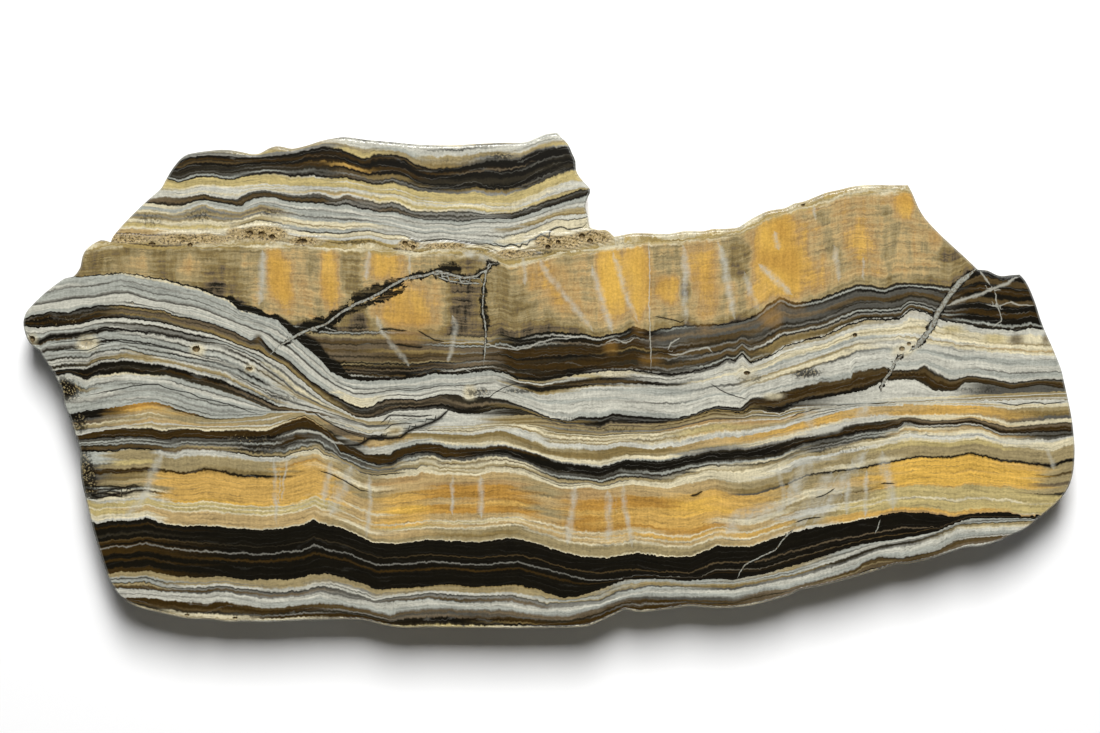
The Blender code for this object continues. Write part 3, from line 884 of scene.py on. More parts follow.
# The belt, the wedge and the beds below
# White and grey beds over a dark one, with a wedge of striped beds under them at the
# left. Below lie tan beds, a thick amber bed, the black band and the pale base beds.
BELT_LINE = [
    (3.0, 30.5), (5.5, 30.1), (7.0, 29.75), (9.5, 29.65), (11.2, 29.25), (12.8, 29.15), (15.0, 29.95),
    (17.0, 30.25), (19.7, 30.65), (22.0, 31.6), (25.2, 32.8), (27.0, 33.4), (27.5, 33.9), (28.7, 34.5),
    (30.0, 35.6), (31.8, 37.2), (33.5, 38.4), (35.5, 39.3), (36.5, 39.35), (40.0, 38.9), (41.0, 39.1),
    (44.0, 38.55), (46.5, 38.5), (49.5, 38.1), (51.5, 38.8), (54.0, 39.6), (57.0, 39.3), (60.0, 39.0),
    (64.0, 39.1), (68.0, 39.2), (71.0, 38.6), (74.0, 38.2), (78.0, 37.0), (82.0, 35.6), (86.0, 34.2),
    (90.0, 34.0), (93.0, 34.4), (97.0, 35.0), (102.0, 35.4), (105.5, 35.6),
]
DARK_BED_TOP = [
    (2.3, 31.9), (3.0, 31.5), (5.0, 31.1), (6.8, 31.25), (8.2, 30.6), (9.0, 30.7), (9.7, 30.4),
    (12.5, 30.45), (15.0, 30.8), (16.3, 30.95), (17.5, 31.5), (19.5, 31.8), (21.3, 32.35), (23.5, 33.1),
    (25.0, 34.0), (26.0, 33.6), (27.2, 35.0), (29.2, 36.25), (30.8, 37.85), (33.0, 39.3), (35.0, 40.25),
    (36.1, 40.75), (37.3, 40.6), (37.7, 40.05), (39.0, 39.8), (42.0, 39.9), (44.3, 39.35), (45.8, 39.4),
    (46.8, 39.9), (48.0, 39.55), (50.6, 40.0), (53.2, 41.0), (55.2, 41.9), (57.1, 42.1), (57.8, 41.7),
    (60.0, 41.75), (61.3, 41.35), (64.0, 41.65), (67.5, 41.9), (69.5, 41.4), (70.6, 40.9), (72.0, 40.6),
    (74.0, 40.9), (75.1, 39.8), (76.3, 39.75), (78.1, 39.15), (80.0, 38.75), (82.2, 38.2),
    (85.1, 37.85), (85.3, 37.2), (88.5, 36.7), (89.5, 37.1), (91.8, 36.9), (92.4, 36.5), (93.8, 37.3),
    (95.2, 38.0), (97.0, 37.55), (99.5, 37.95), (101.2, 38.3), (103.6, 37.95), (106.3, 37.95),
]
DARK_BED_BASE = [
    (2.3, 32.6), (4.0, 32.8), (8.0, 32.5), (9.7, 31.95), (12.2, 31.8), (15.0, 32.1), (18.0, 32.8),
    (21.0, 33.4), (23.5, 34.4), (25.8, 35.2), (28.5, 36.6), (30.0, 37.9), (32.2, 39.8), (34.3, 41.15),
    (35.5, 41.75), (36.9, 41.9), (38.1, 41.7), (39.4, 41.15), (42.3, 41.0), (44.0, 40.85), (46.3, 41.5),
    (47.8, 41.5), (49.6, 40.9), (52.0, 40.95), (54.5, 41.9), (56.7, 42.3), (57.5, 42.3), (60.0, 42.7),
    (61.0, 42.2), (65.0, 42.4), (67.8, 42.1), (70.5, 41.35), (71.2, 41.05), (74.4, 41.36), (75.4, 40.8),
    (78.0, 41.2), (80.2, 40.2), (82.7, 39.8), (84.5, 39.45), (86.5, 39.05), (88.5, 38.0), (91.5, 37.9),
    (92.6, 38.6), (93.6, 39.2), (95.6, 39.1), (96.5, 38.2), (98.5, 38.35), (101.2, 38.95),
    (104.0, 38.45), (106.4, 39.0),
]
WEDGE_STRIPE = [
    (4.0, 34.0), (5.0, 33.45), (7.8, 33.25), (9.2, 32.95), (10.5, 32.6), (12.5, 32.85), (15.0, 33.1),
    (18.0, 33.75), (20.3, 34.25), (22.3, 34.45), (24.5, 35.3), (26.2, 36.3), (28.5, 38.0), (29.5, 39.0),
    (32.2, 40.5), (36.9, 42.2), (106.0, 39.2),
]
WEDGE_LINE = [
    (5.0, 36.0), (7.0, 35.7), (8.8, 35.7), (9.5, 35.3), (10.5, 35.05), (12.5, 34.8), (14.0, 35.2),
    (17.0, 35.8), (20.5, 36.4), (23.0, 37.2), (26.0, 38.8), (29.0, 40.0), (32.2, 41.0), (36.9, 42.5),
    (106.0, 39.3),
]
WEDGE_BAND_TOP = [
    (5.3, 37.1), (7.0, 36.9), (8.8, 36.8), (10.2, 36.25), (12.2, 36.05), (15.5, 36.35), (17.5, 36.8),
    (20.5, 37.55), (22.2, 38.0), (25.0, 39.2), (27.8, 40.6), (30.0, 41.0), (32.2, 41.3), (36.9, 42.8),
    (106.0, 39.4),
]
WEDGE_BAND_BASE = [
    (5.8, 37.5), (7.0, 37.3), (8.6, 38.0), (10.0, 37.5), (12.5, 37.3), (16.5, 37.55), (19.5, 38.35),
    (21.5, 38.9), (24.5, 39.9), (27.2, 41.1), (30.0, 41.2), (32.2, 41.6), (36.9, 43.0), (106.0, 39.5),
]
WEDGE_FLOOR = [
    (7.0, 41.4), (8.8, 41.05), (11.5, 40.75), (14.0, 40.3), (15.5, 40.15), (17.5, 40.8), (19.3, 41.4),
    (21.2, 41.9), (23.5, 41.85), (26.2, 41.6), (28.3, 40.6), (29.7, 40.25), (31.2, 40.8), (33.0, 42.0),
    (36.9, 43.3), (45.0, 41.5), (50.0, 41.8), (56.0, 43.4), (60.0, 43.6), (66.0, 43.3), (71.0, 42.2),
    (78.0, 41.9), (84.5, 40.0), (106.0, 39.9),
]
TAN_TOP = [
    (8.0, 42.2), (15.0, 41.2), (20.0, 42.4), (27.0, 42.0), (30.5, 40.9), (33.5, 43.0), (38.0, 44.0),
    (41.0, 43.2), (45.0, 43.4), (47.1, 43.55), (49.9, 43.0), (51.7, 43.55), (53.7, 44.2), (55.0, 44.9),
    (60.0, 45.05), (62.0, 44.6), (65.0, 44.9), (68.0, 44.7), (71.2, 43.8), (74.0, 43.7), (78.0, 42.9),
    (79.5, 42.4), (84.0, 41.1), (88.0, 40.2), (92.0, 40.4), (98.0, 40.5), (101.0, 40.9), (106.0, 40.6),
]
TAN_BASE = [
    (8.0, 43.2), (15.0, 42.3), (20.0, 42.7), (27.0, 42.6), (30.5, 41.5), (33.5, 43.5), (37.0, 45.3),
    (41.0, 44.2), (43.0, 43.9), (45.0, 44.2), (47.0, 44.3), (49.0, 44.05), (50.0, 44.05), (52.0, 44.6),
    (54.0, 45.3), (57.0, 45.9), (60.0, 46.1), (62.5, 45.5), (66.0, 45.6), (70.0, 44.9), (75.0, 44.3),
    (80.0, 43.2), (84.0, 42.3), (88.0, 41.9), (92.0, 41.6), (98.0, 41.5), (101.0, 42.3), (106.0, 41.9),
]
BROWN_BED_TOP = [
    (8.0, 43.6), (9.0, 43.25), (11.8, 42.75), (13.5, 42.8), (15.0, 42.8), (16.5, 43.15), (18.3, 42.8),
    (21.0, 43.1), (24.0, 42.95), (26.5, 43.1), (28.5, 42.25), (30.4, 41.67), (31.5, 42.0),
    (33.0, 43.25), (34.3, 44.5), (36.5, 45.5), (39.0, 45.58), (39.8, 45.08), (41.5, 44.6),
    (43.6, 44.45), (45.0, 45.0), (48.6, 44.8), (50.0, 44.55), (52.0, 44.95), (54.0, 45.5), (55.6, 46.2),
    (60.0, 46.7), (62.6, 45.95), (66.0, 46.1), (69.5, 45.5), (71.2, 45.05), (74.9, 44.86), (78.0, 44.3),
    (79.8, 43.73), (81.2, 43.64), (83.1, 43.27), (85.3, 42.45), (88.6, 42.14), (89.5, 41.7),
    (89.8, 41.27), (91.0, 41.65), (93.0, 42.05), (95.5, 42.05), (97.0, 41.7), (98.6, 42.15),
    (100.8, 42.7), (103.6, 42.4), (107.2, 42.15),
]
BROWN_BED_BASE = [
    (8.5, 44.0), (11.2, 43.75), (14.0, 43.7), (16.5, 44.0), (18.5, 43.75), (22.0, 43.9), (27.5, 43.8),
    (30.0, 43.0), (31.8, 43.15), (33.4, 44.15), (34.0, 45.2), (35.7, 45.83), (37.8, 46.58),
    (39.5, 46.25), (40.7, 45.5), (43.2, 45.25), (44.5, 45.8), (46.5, 45.8), (49.0, 45.4), (50.6, 45.4),
    (52.6, 46.1), (55.0, 47.1), (57.0, 47.35), (60.0, 47.7), (62.0, 47.0), (66.0, 47.2), (70.0, 46.35),
    (71.0, 46.1), (75.0, 45.9), (78.0, 45.5), (80.4, 44.36), (84.0, 43.73), (86.7, 43.18), (89.7, 42.9),
    (90.5, 42.2), (92.5, 42.6), (97.0, 42.3), (98.0, 42.45), (100.0, 43.35), (104.0, 43.25),
    (107.0, 43.2),
]
AMBER_BED_TOP = [
    (9.0, 45.2), (11.5, 45.2), (12.6, 44.9), (15.5, 44.95), (17.5, 45.45), (18.5, 45.05), (22.5, 45.2),
    (25.5, 45.7), (28.3, 45.75), (29.5, 45.25), (31.7, 45.0), (32.5, 45.58), (34.0, 46.08),
    (36.3, 47.33), (37.8, 47.58), (39.2, 47.4), (41.7, 47.25), (42.0, 46.9), (44.0, 47.2), (47.8, 47.4),
    (49.2, 46.9), (52.2, 47.1), (53.8, 47.7), (56.0, 48.65), (57.5, 48.75), (58.8, 48.45),
    (60.2, 48.95), (63.1, 48.2), (66.8, 48.7), (69.0, 47.8), (71.0, 47.4), (73.5, 47.8), (75.2, 47.6),
    (78.0, 46.7), (80.2, 45.75), (82.2, 45.55), (84.2, 45.0), (88.0, 44.35), (91.0, 43.7), (95.0, 44.0),
    (97.8, 43.65), (100.5, 44.35), (105.0, 44.65), (106.5, 44.15), (107.3, 43.9),
]
AMBER_THREAD = [
    (9.0, 47.0), (11.0, 46.85), (12.5, 46.95), (13.5, 46.7), (15.0, 46.75), (17.5, 47.1), (18.5, 47.2),
    (20.5, 46.7), (24.0, 47.4), (28.5, 47.65), (31.5, 46.65), (33.5, 47.4), (35.5, 48.5), (37.5, 49.15),
    (44.0, 48.5), (50.0, 48.2), (56.0, 49.2), (60.0, 49.2), (63.0, 49.0), (69.0, 49.4), (71.5, 48.8),
    (73.0, 49.4), (75.5, 49.3), (78.5, 48.4), (80.5, 47.45), (83.5, 47.0), (86.5, 46.6), (91.5, 45.6),
    (95.0, 45.6), (97.0, 45.15), (100.0, 45.9), (105.0, 46.4), (107.4, 45.7),
]
BLACK_BAND_TOP = [
    (9.0, 52.0), (9.7, 52.4), (10.8, 52.05), (13.8, 52.05), (14.7, 51.75), (15.8, 52.2), (17.5, 52.55),
    (20.0, 52.6), (26.2, 52.95), (29.0, 52.75), (30.5, 52.4), (31.4, 51.95), (32.0, 52.3), (33.8, 52.7),
    (35.2, 53.25), (37.2, 54.2), (39.5, 54.4), (43.0, 54.0), (48.0, 54.2), (50.5, 53.8), (51.8, 53.85),
    (53.8, 54.4), (55.8, 55.05), (57.5, 55.55), (60.5, 55.8), (62.3, 55.5), (63.7, 55.25), (66.5, 55.7),
    (69.0, 55.7), (71.8, 54.6), (75.0, 54.65), (77.8, 53.65), (80.3, 53.0), (84.0, 52.35), (87.0, 51.8),
    (89.5, 51.25), (92.5, 51.25), (95.5, 51.7), (97.0, 51.4), (100.8, 51.3), (102.2, 51.65),
]
TAN_THREAD = [
    (9.5, 54.3), (14.5, 53.7), (19.0, 54.15), (22.8, 54.45), (25.8, 54.65), (28.5, 54.5), (30.8, 54.0),
    (31.4, 53.7), (32.2, 54.0), (33.8, 54.3), (36.0, 55.1), (38.2, 55.8), (43.0, 55.45), (48.0, 55.75),
    (51.7, 55.45), (53.7, 55.85), (56.7, 56.85), (60.0, 57.3), (63.0, 56.85), (65.5, 57.15),
    (69.0, 57.25), (71.6, 56.2), (75.7, 56.15), (79.5, 55.05), (83.0, 54.05), (87.0, 53.35),
    (90.5, 52.7), (94.0, 52.8), (97.0, 51.6), (102.2, 51.67),
]
LOW_THREAD = [
    (10.0, 54.9), (11.5, 54.55), (13.0, 54.65), (14.7, 54.2), (16.0, 54.65), (20.0, 55.1), (26.0, 55.4),
    (30.3, 55.0), (31.4, 54.45), (32.8, 54.95), (34.5, 55.2), (37.5, 56.4), (41.0, 56.35), (43.2, 56.1),
    (48.0, 56.45), (51.8, 56.15), (55.0, 57.0), (59.0, 58.05), (61.5, 58.05), (63.7, 57.6),
    (70.0, 57.8), (71.6, 56.95), (76.0, 56.95), (80.0, 55.65), (85.0, 54.4), (88.5, 53.6), (91.5, 53.3),
    (97.0, 51.7), (102.2, 51.7),
]
BLACK_BAND_BASE = [
    (11.2, 57.4), (11.8, 57.2), (15.0, 57.15), (17.0, 57.5), (20.0, 57.8), (21.8, 57.65), (25.0, 58.0),
    (29.2, 57.95), (31.5, 57.4), (33.3, 57.5), (35.8, 58.2), (38.0, 59.0), (40.0, 58.85), (45.0, 58.45),
    (47.5, 58.7), (51.5, 58.45), (53.5, 58.85), (56.2, 59.8), (57.5, 59.75), (60.6, 58.7), (62.5, 57.9),
    (65.5, 57.75), (68.3, 58.0), (72.2, 57.85), (73.2, 58.0), (76.5, 57.3), (79.5, 56.5), (82.5, 55.55),
    (84.5, 54.8), (86.2, 54.35), (89.5, 53.95), (92.2, 53.45), (93.8, 53.1), (95.5, 52.15),
    (97.0, 51.8), (102.2, 51.75),
]
BASE_LINE = [
    (11.3, 58.3), (14.5, 58.1), (16.5, 58.7), (20.0, 58.8), (21.8, 58.55), (25.5, 58.9), (27.0, 59.3),
    (30.0, 59.05), (31.8, 58.6), (33.7, 58.85), (36.0, 59.55), (37.3, 60.1), (40.2, 59.6),
    (43.0, 59.25), (47.5, 59.6), (51.0, 59.5), (54.5, 60.3), (60.0, 60.0), (61.5, 59.2), (65.0, 58.5),
    (69.0, 58.6), (73.5, 58.5), (80.0, 57.3), (83.8, 56.0), (88.0, 54.55), (92.0, 53.9), (96.0, 52.35),
    (103.0, 52.0),
]
BASE_BAND = [
    (11.5, 58.8), (15.5, 59.05), (20.0, 59.45), (21.8, 59.15), (27.0, 59.9), (30.0, 59.7), (32.0, 59.2),
    (35.0, 59.9), (38.0, 60.2), (43.0, 59.9), (46.5, 60.3), (50.5, 60.2), (54.5, 60.9), (60.0, 60.35),
    (62.0, 59.6), (65.0, 58.95), (69.0, 58.95), (73.5, 59.0), (80.0, 57.7), (83.8, 56.5), (88.0, 55.0),
    (92.0, 54.4), (96.0, 52.9), (103.0, 52.6),
]
BASE_BROWN = [
    (12.0, 59.8), (14.2, 59.7), (18.0, 60.15), (20.5, 60.35), (22.0, 60.1), (27.0, 60.9), (30.5, 60.45),
    (33.2, 60.35), (36.5, 61.0), (39.0, 61.65), (40.5, 61.1), (44.0, 60.85), (51.5, 61.15),
    (55.2, 61.7), (57.2, 61.6), (60.0, 60.75), (62.2, 59.9), (64.5, 59.65), (73.5, 59.95), (76.5, 59.0),
    (78.5, 58.95), (82.5, 57.85), (85.5, 57.0), (86.3, 56.2), (88.0, 55.7), (90.0, 55.9), (94.0, 55.0),
    (95.5, 54.1), (97.5, 53.75), (101.0, 53.6),
]
SLAB_BASE = list(reversed(BASE_SKIN))
BED_LINES = [
    SEAM_FLOOR, BELT_LINE, DARK_BED_TOP, DARK_BED_BASE, WEDGE_STRIPE, WEDGE_LINE, WEDGE_BAND_TOP,
    WEDGE_BAND_BASE, WEDGE_FLOOR, TAN_TOP, TAN_BASE, BROWN_BED_TOP, BROWN_BED_BASE, AMBER_BED_TOP,
    AMBER_THREAD, BLACK_BAND_TOP, TAN_THREAD, LOW_THREAD, BLACK_BAND_BASE, BASE_LINE, BASE_BAND,
    BASE_BROWN, SLAB_BASE,
]
BED_DEPTH, BED_LEVELS = depth_through(BED_LINES)
bed_depth = reckon("ADD", BED_WOBBLE, mark("bed_depth", BED_DEPTH))

BELT_CORES = [
    (5.0, "dove 3, bone 2, slate 0.8, dove 4, ash 1 / slate 1, bone 5, dove 2 "
          "/ black 3, soot 2, umber 2, black 4, umber 3, black 4"),
    (9.0, "dove 4, slate 0.8, dove 4, ash 1 / slate 1, bone 5, dove 1 "
          "/ black 3, slate 2, soot 3, brown 2, soot 2, umber 3, black 3"),
    (13.0, "cream 1, dove 4, ash 1, dove 3, slate 0.8, dove 3, ash 1 "
           "/ slate 1, bone 5, slate 1, bone 1 "
           "/ black 2, olive 2, soot 1, earth 3, olive 2, slate 2, black 2"),
    (22.0, "cream 1, dove 4, ash 1, dove 3, slate 0.8, dove 3, ash 1 "
           "/ slate 1, bone 3, dove 1, bone 3, dove 2 "
           "/ black 2, earth 3, soot 1.5, earth 3, olive 3, soot 2"),
    (28.0, "dove 4, bone 1, dove 2, slate 0.8, bone 3, dove 3 / slate 1.2, bone 3, dove 3 "
           "/ black 3, soot 3, slate 1, olive 4, soot 2"),
    (32.0, "dove 2, bone 1, dove 2, slate 0.8, bone 3, dove 3 / slate 1.2, bone 3, dove 3 "
           "/ black 3, brown 2, olive 2, khaki 1, olive 2, soot 1"),
    (36.0, "dove 3, bone 2, dove 2, slate 1, bone 3 / slate 1, bone 2, cream 5 "
           "/ black 2, slate 1, soot 3, earth 1, soot 2"),
    (41.0, "dove 4, bone 2, dove 2, slate 0.8, dove 1 / slate 1, dove 2, bone 3, slate 1, bone 3 "
           "/ black 2, earth 2, soot 3, earth 1, black 2, slate 2"),
    (47.0, "dove 4, bone 3, dove 2 / slate 1.2, bone 4, slate 0.8, bone 4 / soot 4, earth 2, black 5"),
    (54.0, "soot 1, khaki 2, soot 1, bone 2, brown 2, black 5, soot 1, olive 2, khaki 2, bone 1 "
           "/ bone 3, dove 2, bone 5, dove 1, bone 2 / black 2, slate 1, olive 3, black 1"),
    (60.0, "cream 2, bone 2, black 4, brown 3, black 2, khaki 1, bone 2, dove 2 "
           "/ bone 3, dove 1, bone 5, dove 2 / black 2, slate 1, black 3, soot 1"),
    (66.5, "slate 1, bone 2, slate 1, bone 2, black 3, bone 2, dove 3 "
           "/ dove 2, bone 4, slate 0.6, bone 5, dove 3 / black 2, slate 1, black 2"),
    (72.0, "slate 1, bone 5, cream 1, bone 4 / slate 1, bone 3, dove 1, bone 5 "
           "/ black 1.5, slate 1, black 1.5, olive 2"),
    (78.0, "bone 3, khaki 0.8, cream 3, dove 2, bone 3 "
           "/ khaki 1, cream 2, khaki 1, bone 5, dove 1, bone 2 "
           "/ soot 1.5, umber 5, brown 2, black 3"),
    (84.0, "khaki 3, bone 4, cream 3, khaki 0.8, cream 2, dove 4, bone 2 "
           "/ khaki 1, cream 2, slate 0.8, bone 5, dove 2 / brown 3, umber 5, brown 2, black 3"),
    (92.0, "bone 4, cream 4, khaki 1, cream 3, bone 2, khaki 0.8, cream 2 "
           "/ bone 4, dove 3, bone 5, dove 3, bone 2 / soot 2, brown 3, umber 5, soot 2"),
    (103.0, "bone 4, cream 5, khaki 1, cream 3, tan 1, cream 2 "
            "/ bone 3, dove 4, bone 4, slate 0.6, dove 3, bone 2 "
            "/ soot 2, slate 1, brown 3, umber 4, soot 2"),
]
WEDGE_CORES = [
    (6.5, "bone 3, ash 1, dove 2, slate 1 "
          "/ black 4, brown 1, dove 4, ash 2, soot 2.5, dove 3, ash 1, dove 2, soot 1 "
          "/ soot 1, bone 3, ash 1, bone 2, soot 4, bone 2 / black 4, umber 1, black 3 "
          "/ bone 3, dove 3, slate 1, khaki 2, dove 4, bone 3, ash 1, dove 6"),
    (10.0, "bone 3, soot 1, ash 2, bone 1 "
           "/ black 4, dove 4, ash 1, dove 1, black 2, dove 3, ash 1, dove 2 "
           "/ black 2, bone 3, ash 1, khaki 2, olive 0.8, khaki 2, soot 1, bone 2 "
           "/ black 3, soot 2, black 3 / cream 1, bone 3, slate 0.8, dove 4, bone 3, ash 1, dove 6"),
    (14.0, "bone 2, soot 1.5, ash 2, slate 1 "
           "/ black 2, bone 2, slate 1, dove 3, black 1.5, dove 3, soot 1, dove 2 "
           "/ black 1.5, khaki 2, olive 1, khaki 2, olive 1, khaki 3, bone 2 "
           "/ black 3, soot 2, umber 1, black 3 "
           "/ cream 1, bone 4, dove 2, slate 1, dove 4, ash 1, dove 4, bone 1, ash 1, dove 3"),
    (19.0, "bone 2, black 1.5, ash 2, soot 1 "
           "/ black 1, bone 3, soot 1, dove 3, slate 1, bone 2, black 1.2, dove 2 "
           "/ soot 1, bone 2, khaki 2, olive 1, bone 3 / black 3, umber 2, soot 3 "
           "/ dove 3, slate 0.8, bone 3, dove 4, slate 1, dove 4, ash 1, dove 3, soot 0.8, dove 2"),
    (25.0, "bone 2, soot 1, dove 2, soot 1 "
           "/ bone 1, soot 1.5, bone 2, soot 1, bone 2, dove 2, black 1.5, dove 2, soot 1 "
           "/ bone 1, black 1, bone 2, khaki 2, slate 0.8, dove 2 "
           "/ black 2, earth 2, soot 2, brown 1 "
           "/ dove 3, slate 0.8, bone 3, dove 3, soot 0.8, dove 6, slate 0.8, dove 3"),
    (31.0, "bone 2, slate 1, cream 2 / slate 1, khaki 2, bone 2 / slate 1, bone 2 / brown 2, soot 1 "
           "/ bone 2, slate 0.8, bone 2"),
    (37.0, "bone 2 / khaki 1 / slate 1 / bone 1 "
           "/ bone 3, khaki 1.5, cream 2, slate 0.8, bone 2, khaki 1, cream 2, slate 1"),
    (42.0, "bone 1 / dove 1 / bone 1 / dove 1 "
           "/ slate 1, dove 2, soot 1, bone 2, soot 1, dove 2, slate 1, soot 1, dove 1"),
    (46.5, "bone 1 / bone 1 / bone 1 / bone 1 "
           "/ bone 5, slate 0.6, cream 2, olive 0.8, cream 1, olive 0.8, cream 2"),
    (51.0, "soot 1 / khaki 1 / olive 1 / khaki 1 "
           "/ olive 4, khaki 4, olive 2, cream 2, olive 1, cream 1"),
    (56.0, "soot 1 / slate 1 / olive 1 / khaki 1 "
           "/ earth 3, khaki 3, ash 2, olive 2, khaki 2, soot 0.8, cream 1"),
    (64.0, "soot 1 / earth 1 / khaki 1 / khaki 1 "
           "/ earth 3, khaki 4, olive 2, ash 3, khaki 2, soot 0.8, cream 1"),
    (71.0, "black 1 / olive 1 / khaki 1 / olive 1 / brown 3, khaki 4, earth 2, soot 0.8, fawn 3"),
    (78.0, "black 1 / soot 1 / brown 1 / bone 1 "
           "/ khaki 2, soot 0.8, bone 1, soot 0.8, khaki 2, bone 1"),
    (86.0, "bone 1 / bone 1 / dove 1 / soot 1 / bone 3, soot 0.8, bone 2, slate 0.8, dove 2"),
    (93.0, "bone 1 / cream 1 / bone 1 / khaki 1 / bone 3, khaki 1, cream 3"),
    (100.0, "slate 1 / khaki 1 / bone 1 / olive 1 "
            "/ khaki 2, soot 0.8, khaki 2, bone 2, olive 1, bone 1, olive 1"),
]

TAN_CORES = [
    (10.0, "black 7, slate 2 / earth 3, cream 0.7, khaki 3, slate 1, bone 1 / bone 1 "
           "/ umber 8, black 2 "
           "/ slate 1.5, soot 1, dove 1.5, soot 1, dove 1, soot 1.5, brown 3, black 2"),
    (15.0, "ochre 4, amber 3, tan 3 / cream 0.7, khaki 4, cream 0.7, tan 4, bone 1 "
           "/ khaki 1, cream 1 / black 1, umber 8, black 1 "
           "/ slate 2, dove 1, soot 1, slate 1, dove 1.5, soot 1, brown 3.5, black 1"),
    (20.0, "soot 1, khaki 4 / khaki 2, tan 3, bone 1 / khaki 1, cream 1 / black 1, umber 8, black 1 "
           "/ slate 2, soot 1, slate 1, dove 1, soot 1, ash 1, khaki 2, earth 2, bone 1"),
    (26.0, "khaki 4, bone 1 / khaki 3, bone 1 / khaki 1, cream 1 / umber 7, black 3 "
           "/ slate 1, soot 2, dove 1, soot 3, ash 1, soot 2, khaki 1, soot 1.5"),
    (30.0, "khaki 5, tan 3 / khaki 4 / soot 1, tan 1 / umber 9, soot 3 "
           "/ bone 1, slate 2, umber 5, soot 2, slate 2, dove 1, soot 1.5, khaki 2, soot 1"),
    (34.0, "dove 1.5, soot 1, bone 2, earth 4 / earth 2, soot 1 / soot 1 / umber 8, black 2 "
           "/ dove 1, soot 1, slate 2, dove 1, soot 1.5, khaki 2, ash 1"),
    (38.0, "bone 3, soot 1, slate 2 / soot 1, tan 5, bone 3 / bone 2, soot 1 / umber 7, black 2 "
           "/ soot 1, slate 1, khaki 1.5, slate 2, khaki 1, slate 1, khaki 1, soot 1"),
    (41.0, "bone 2, soot 1, bone 2 / olive 4, khaki 2, bone 1 / dove 2, soot 1 / umber 9, black 2 "
           "/ slate 2, dove 1, slate 1, cream 2, khaki 2, slate 1, cream 2"),
    (46.0, "bone 3, khaki 1.5, cream 2, olive 1, cream 2, bone 3 / olive 5, khaki 4 "
           "/ cream 2, dove 2, soot 1 / umber 10, black 2 "
           "/ slate 2, cream 1, khaki 2, brown 1, cream 2, khaki 1.5, cream 1, khaki 2"),
    (51.0, "cream 1.5, olive 1, bone 4 / olive 4, khaki 4 / cream 3, bone 1, slate 1 "
           "/ umber 3, black 8 / slate 2, cream 1.5, brown 1, cream 2, khaki 2, brown 1, cream 2"),
    (56.5, "khaki 1.5, cream 2, olive 1, cream 1, khaki 1, bone 3, cream 1 "
           "/ khaki 3, olive 5, khaki 1 / cream 3, ash 1 / black 9, soot 2 "
           "/ slate 2, dove 1, soot 1.5, khaki 2, slate 1, cream 1, soot 1"),
    (61.0, "khaki 1.5, cream 2, olive 1, cream 1.5, olive 1, bone 4 / olive 8, khaki 1 "
           "/ cream 3, bone 1 / black 9, soot 1 "
           "/ slate 1, soot 2, dove 1.5, soot 1.5, khaki 2, slate 1, cream 2"),
    (66.0, "cream 1.5, khaki 1, cream 2, olive 1, cream 2, bone 3 / olive 5, khaki 3 "
           "/ cream 3, dove 1 / black 9, soot 1 "
           "/ dove 1.5, soot 1.5, slate 1, soot 1, khaki 2, cream 2"),
    (71.0, "cream 1, khaki 1, butter 3, tan 1, cream 1, bone 3 / tan 7, khaki 2 / ash 2 "
           "/ soot 2, black 8 / slate 1, dove 1, soot 1.2, cream 2, khaki 1, cream 3"),
    (77.0, "fawn 2, tan 1, khaki 2, bone 3 / amber 5, tan 3 / cream 2, ash 1 "
           "/ soot 2, black 8, soot 2 / soot 1, dove 1, cream 1, soot 1, khaki 2, cream 4"),
    (82.0, "bone 3, soot 0.8, bone 2, soot 0.8, bone 2 / amber 7, cream 2 / bone 3 "
           "/ soot 5, umber 3, black 4 / slate 2, soot 2, ash 1, soot 1, ash 2, soot 1, khaki 3"),
    (87.0, "soot 1, bone 3 / tan 5, bone 2 / bone 2, soot 0.8 / soot 3, umber 5, black 3 "
           "/ slate 1, dove 1, soot 1, dove 1, slate 1, soot 1, khaki 1.5, cream 3"),
    (91.5, "bone 3, cream 3 / amber 9, cream 1 / cream 1 "
           "/ soot 2, earth 4, brown 2, black 3, umber 2 "
           "/ bone 1, soot 1, cream 1.5, tan 2, cream 2, bone 3"),
    (98.0, "bone 4, cream 1, tan 1, bone 1 / amber 9, tan 2 / cream 1, tan 1 "
           "/ soot 2, earth 3, brown 2, black 3, umber 2 / bone 1, soot 1, tan 2, cream 3, bone 3"),
    (105.0, "bone 3, cream 2 / khaki 3, olive 4, slate 3 / cream 2 "
            "/ soot 2, earth 3, umber 5, black 2 / slate 2, soot 2, slate 2, bone 2, cream 3"),
]

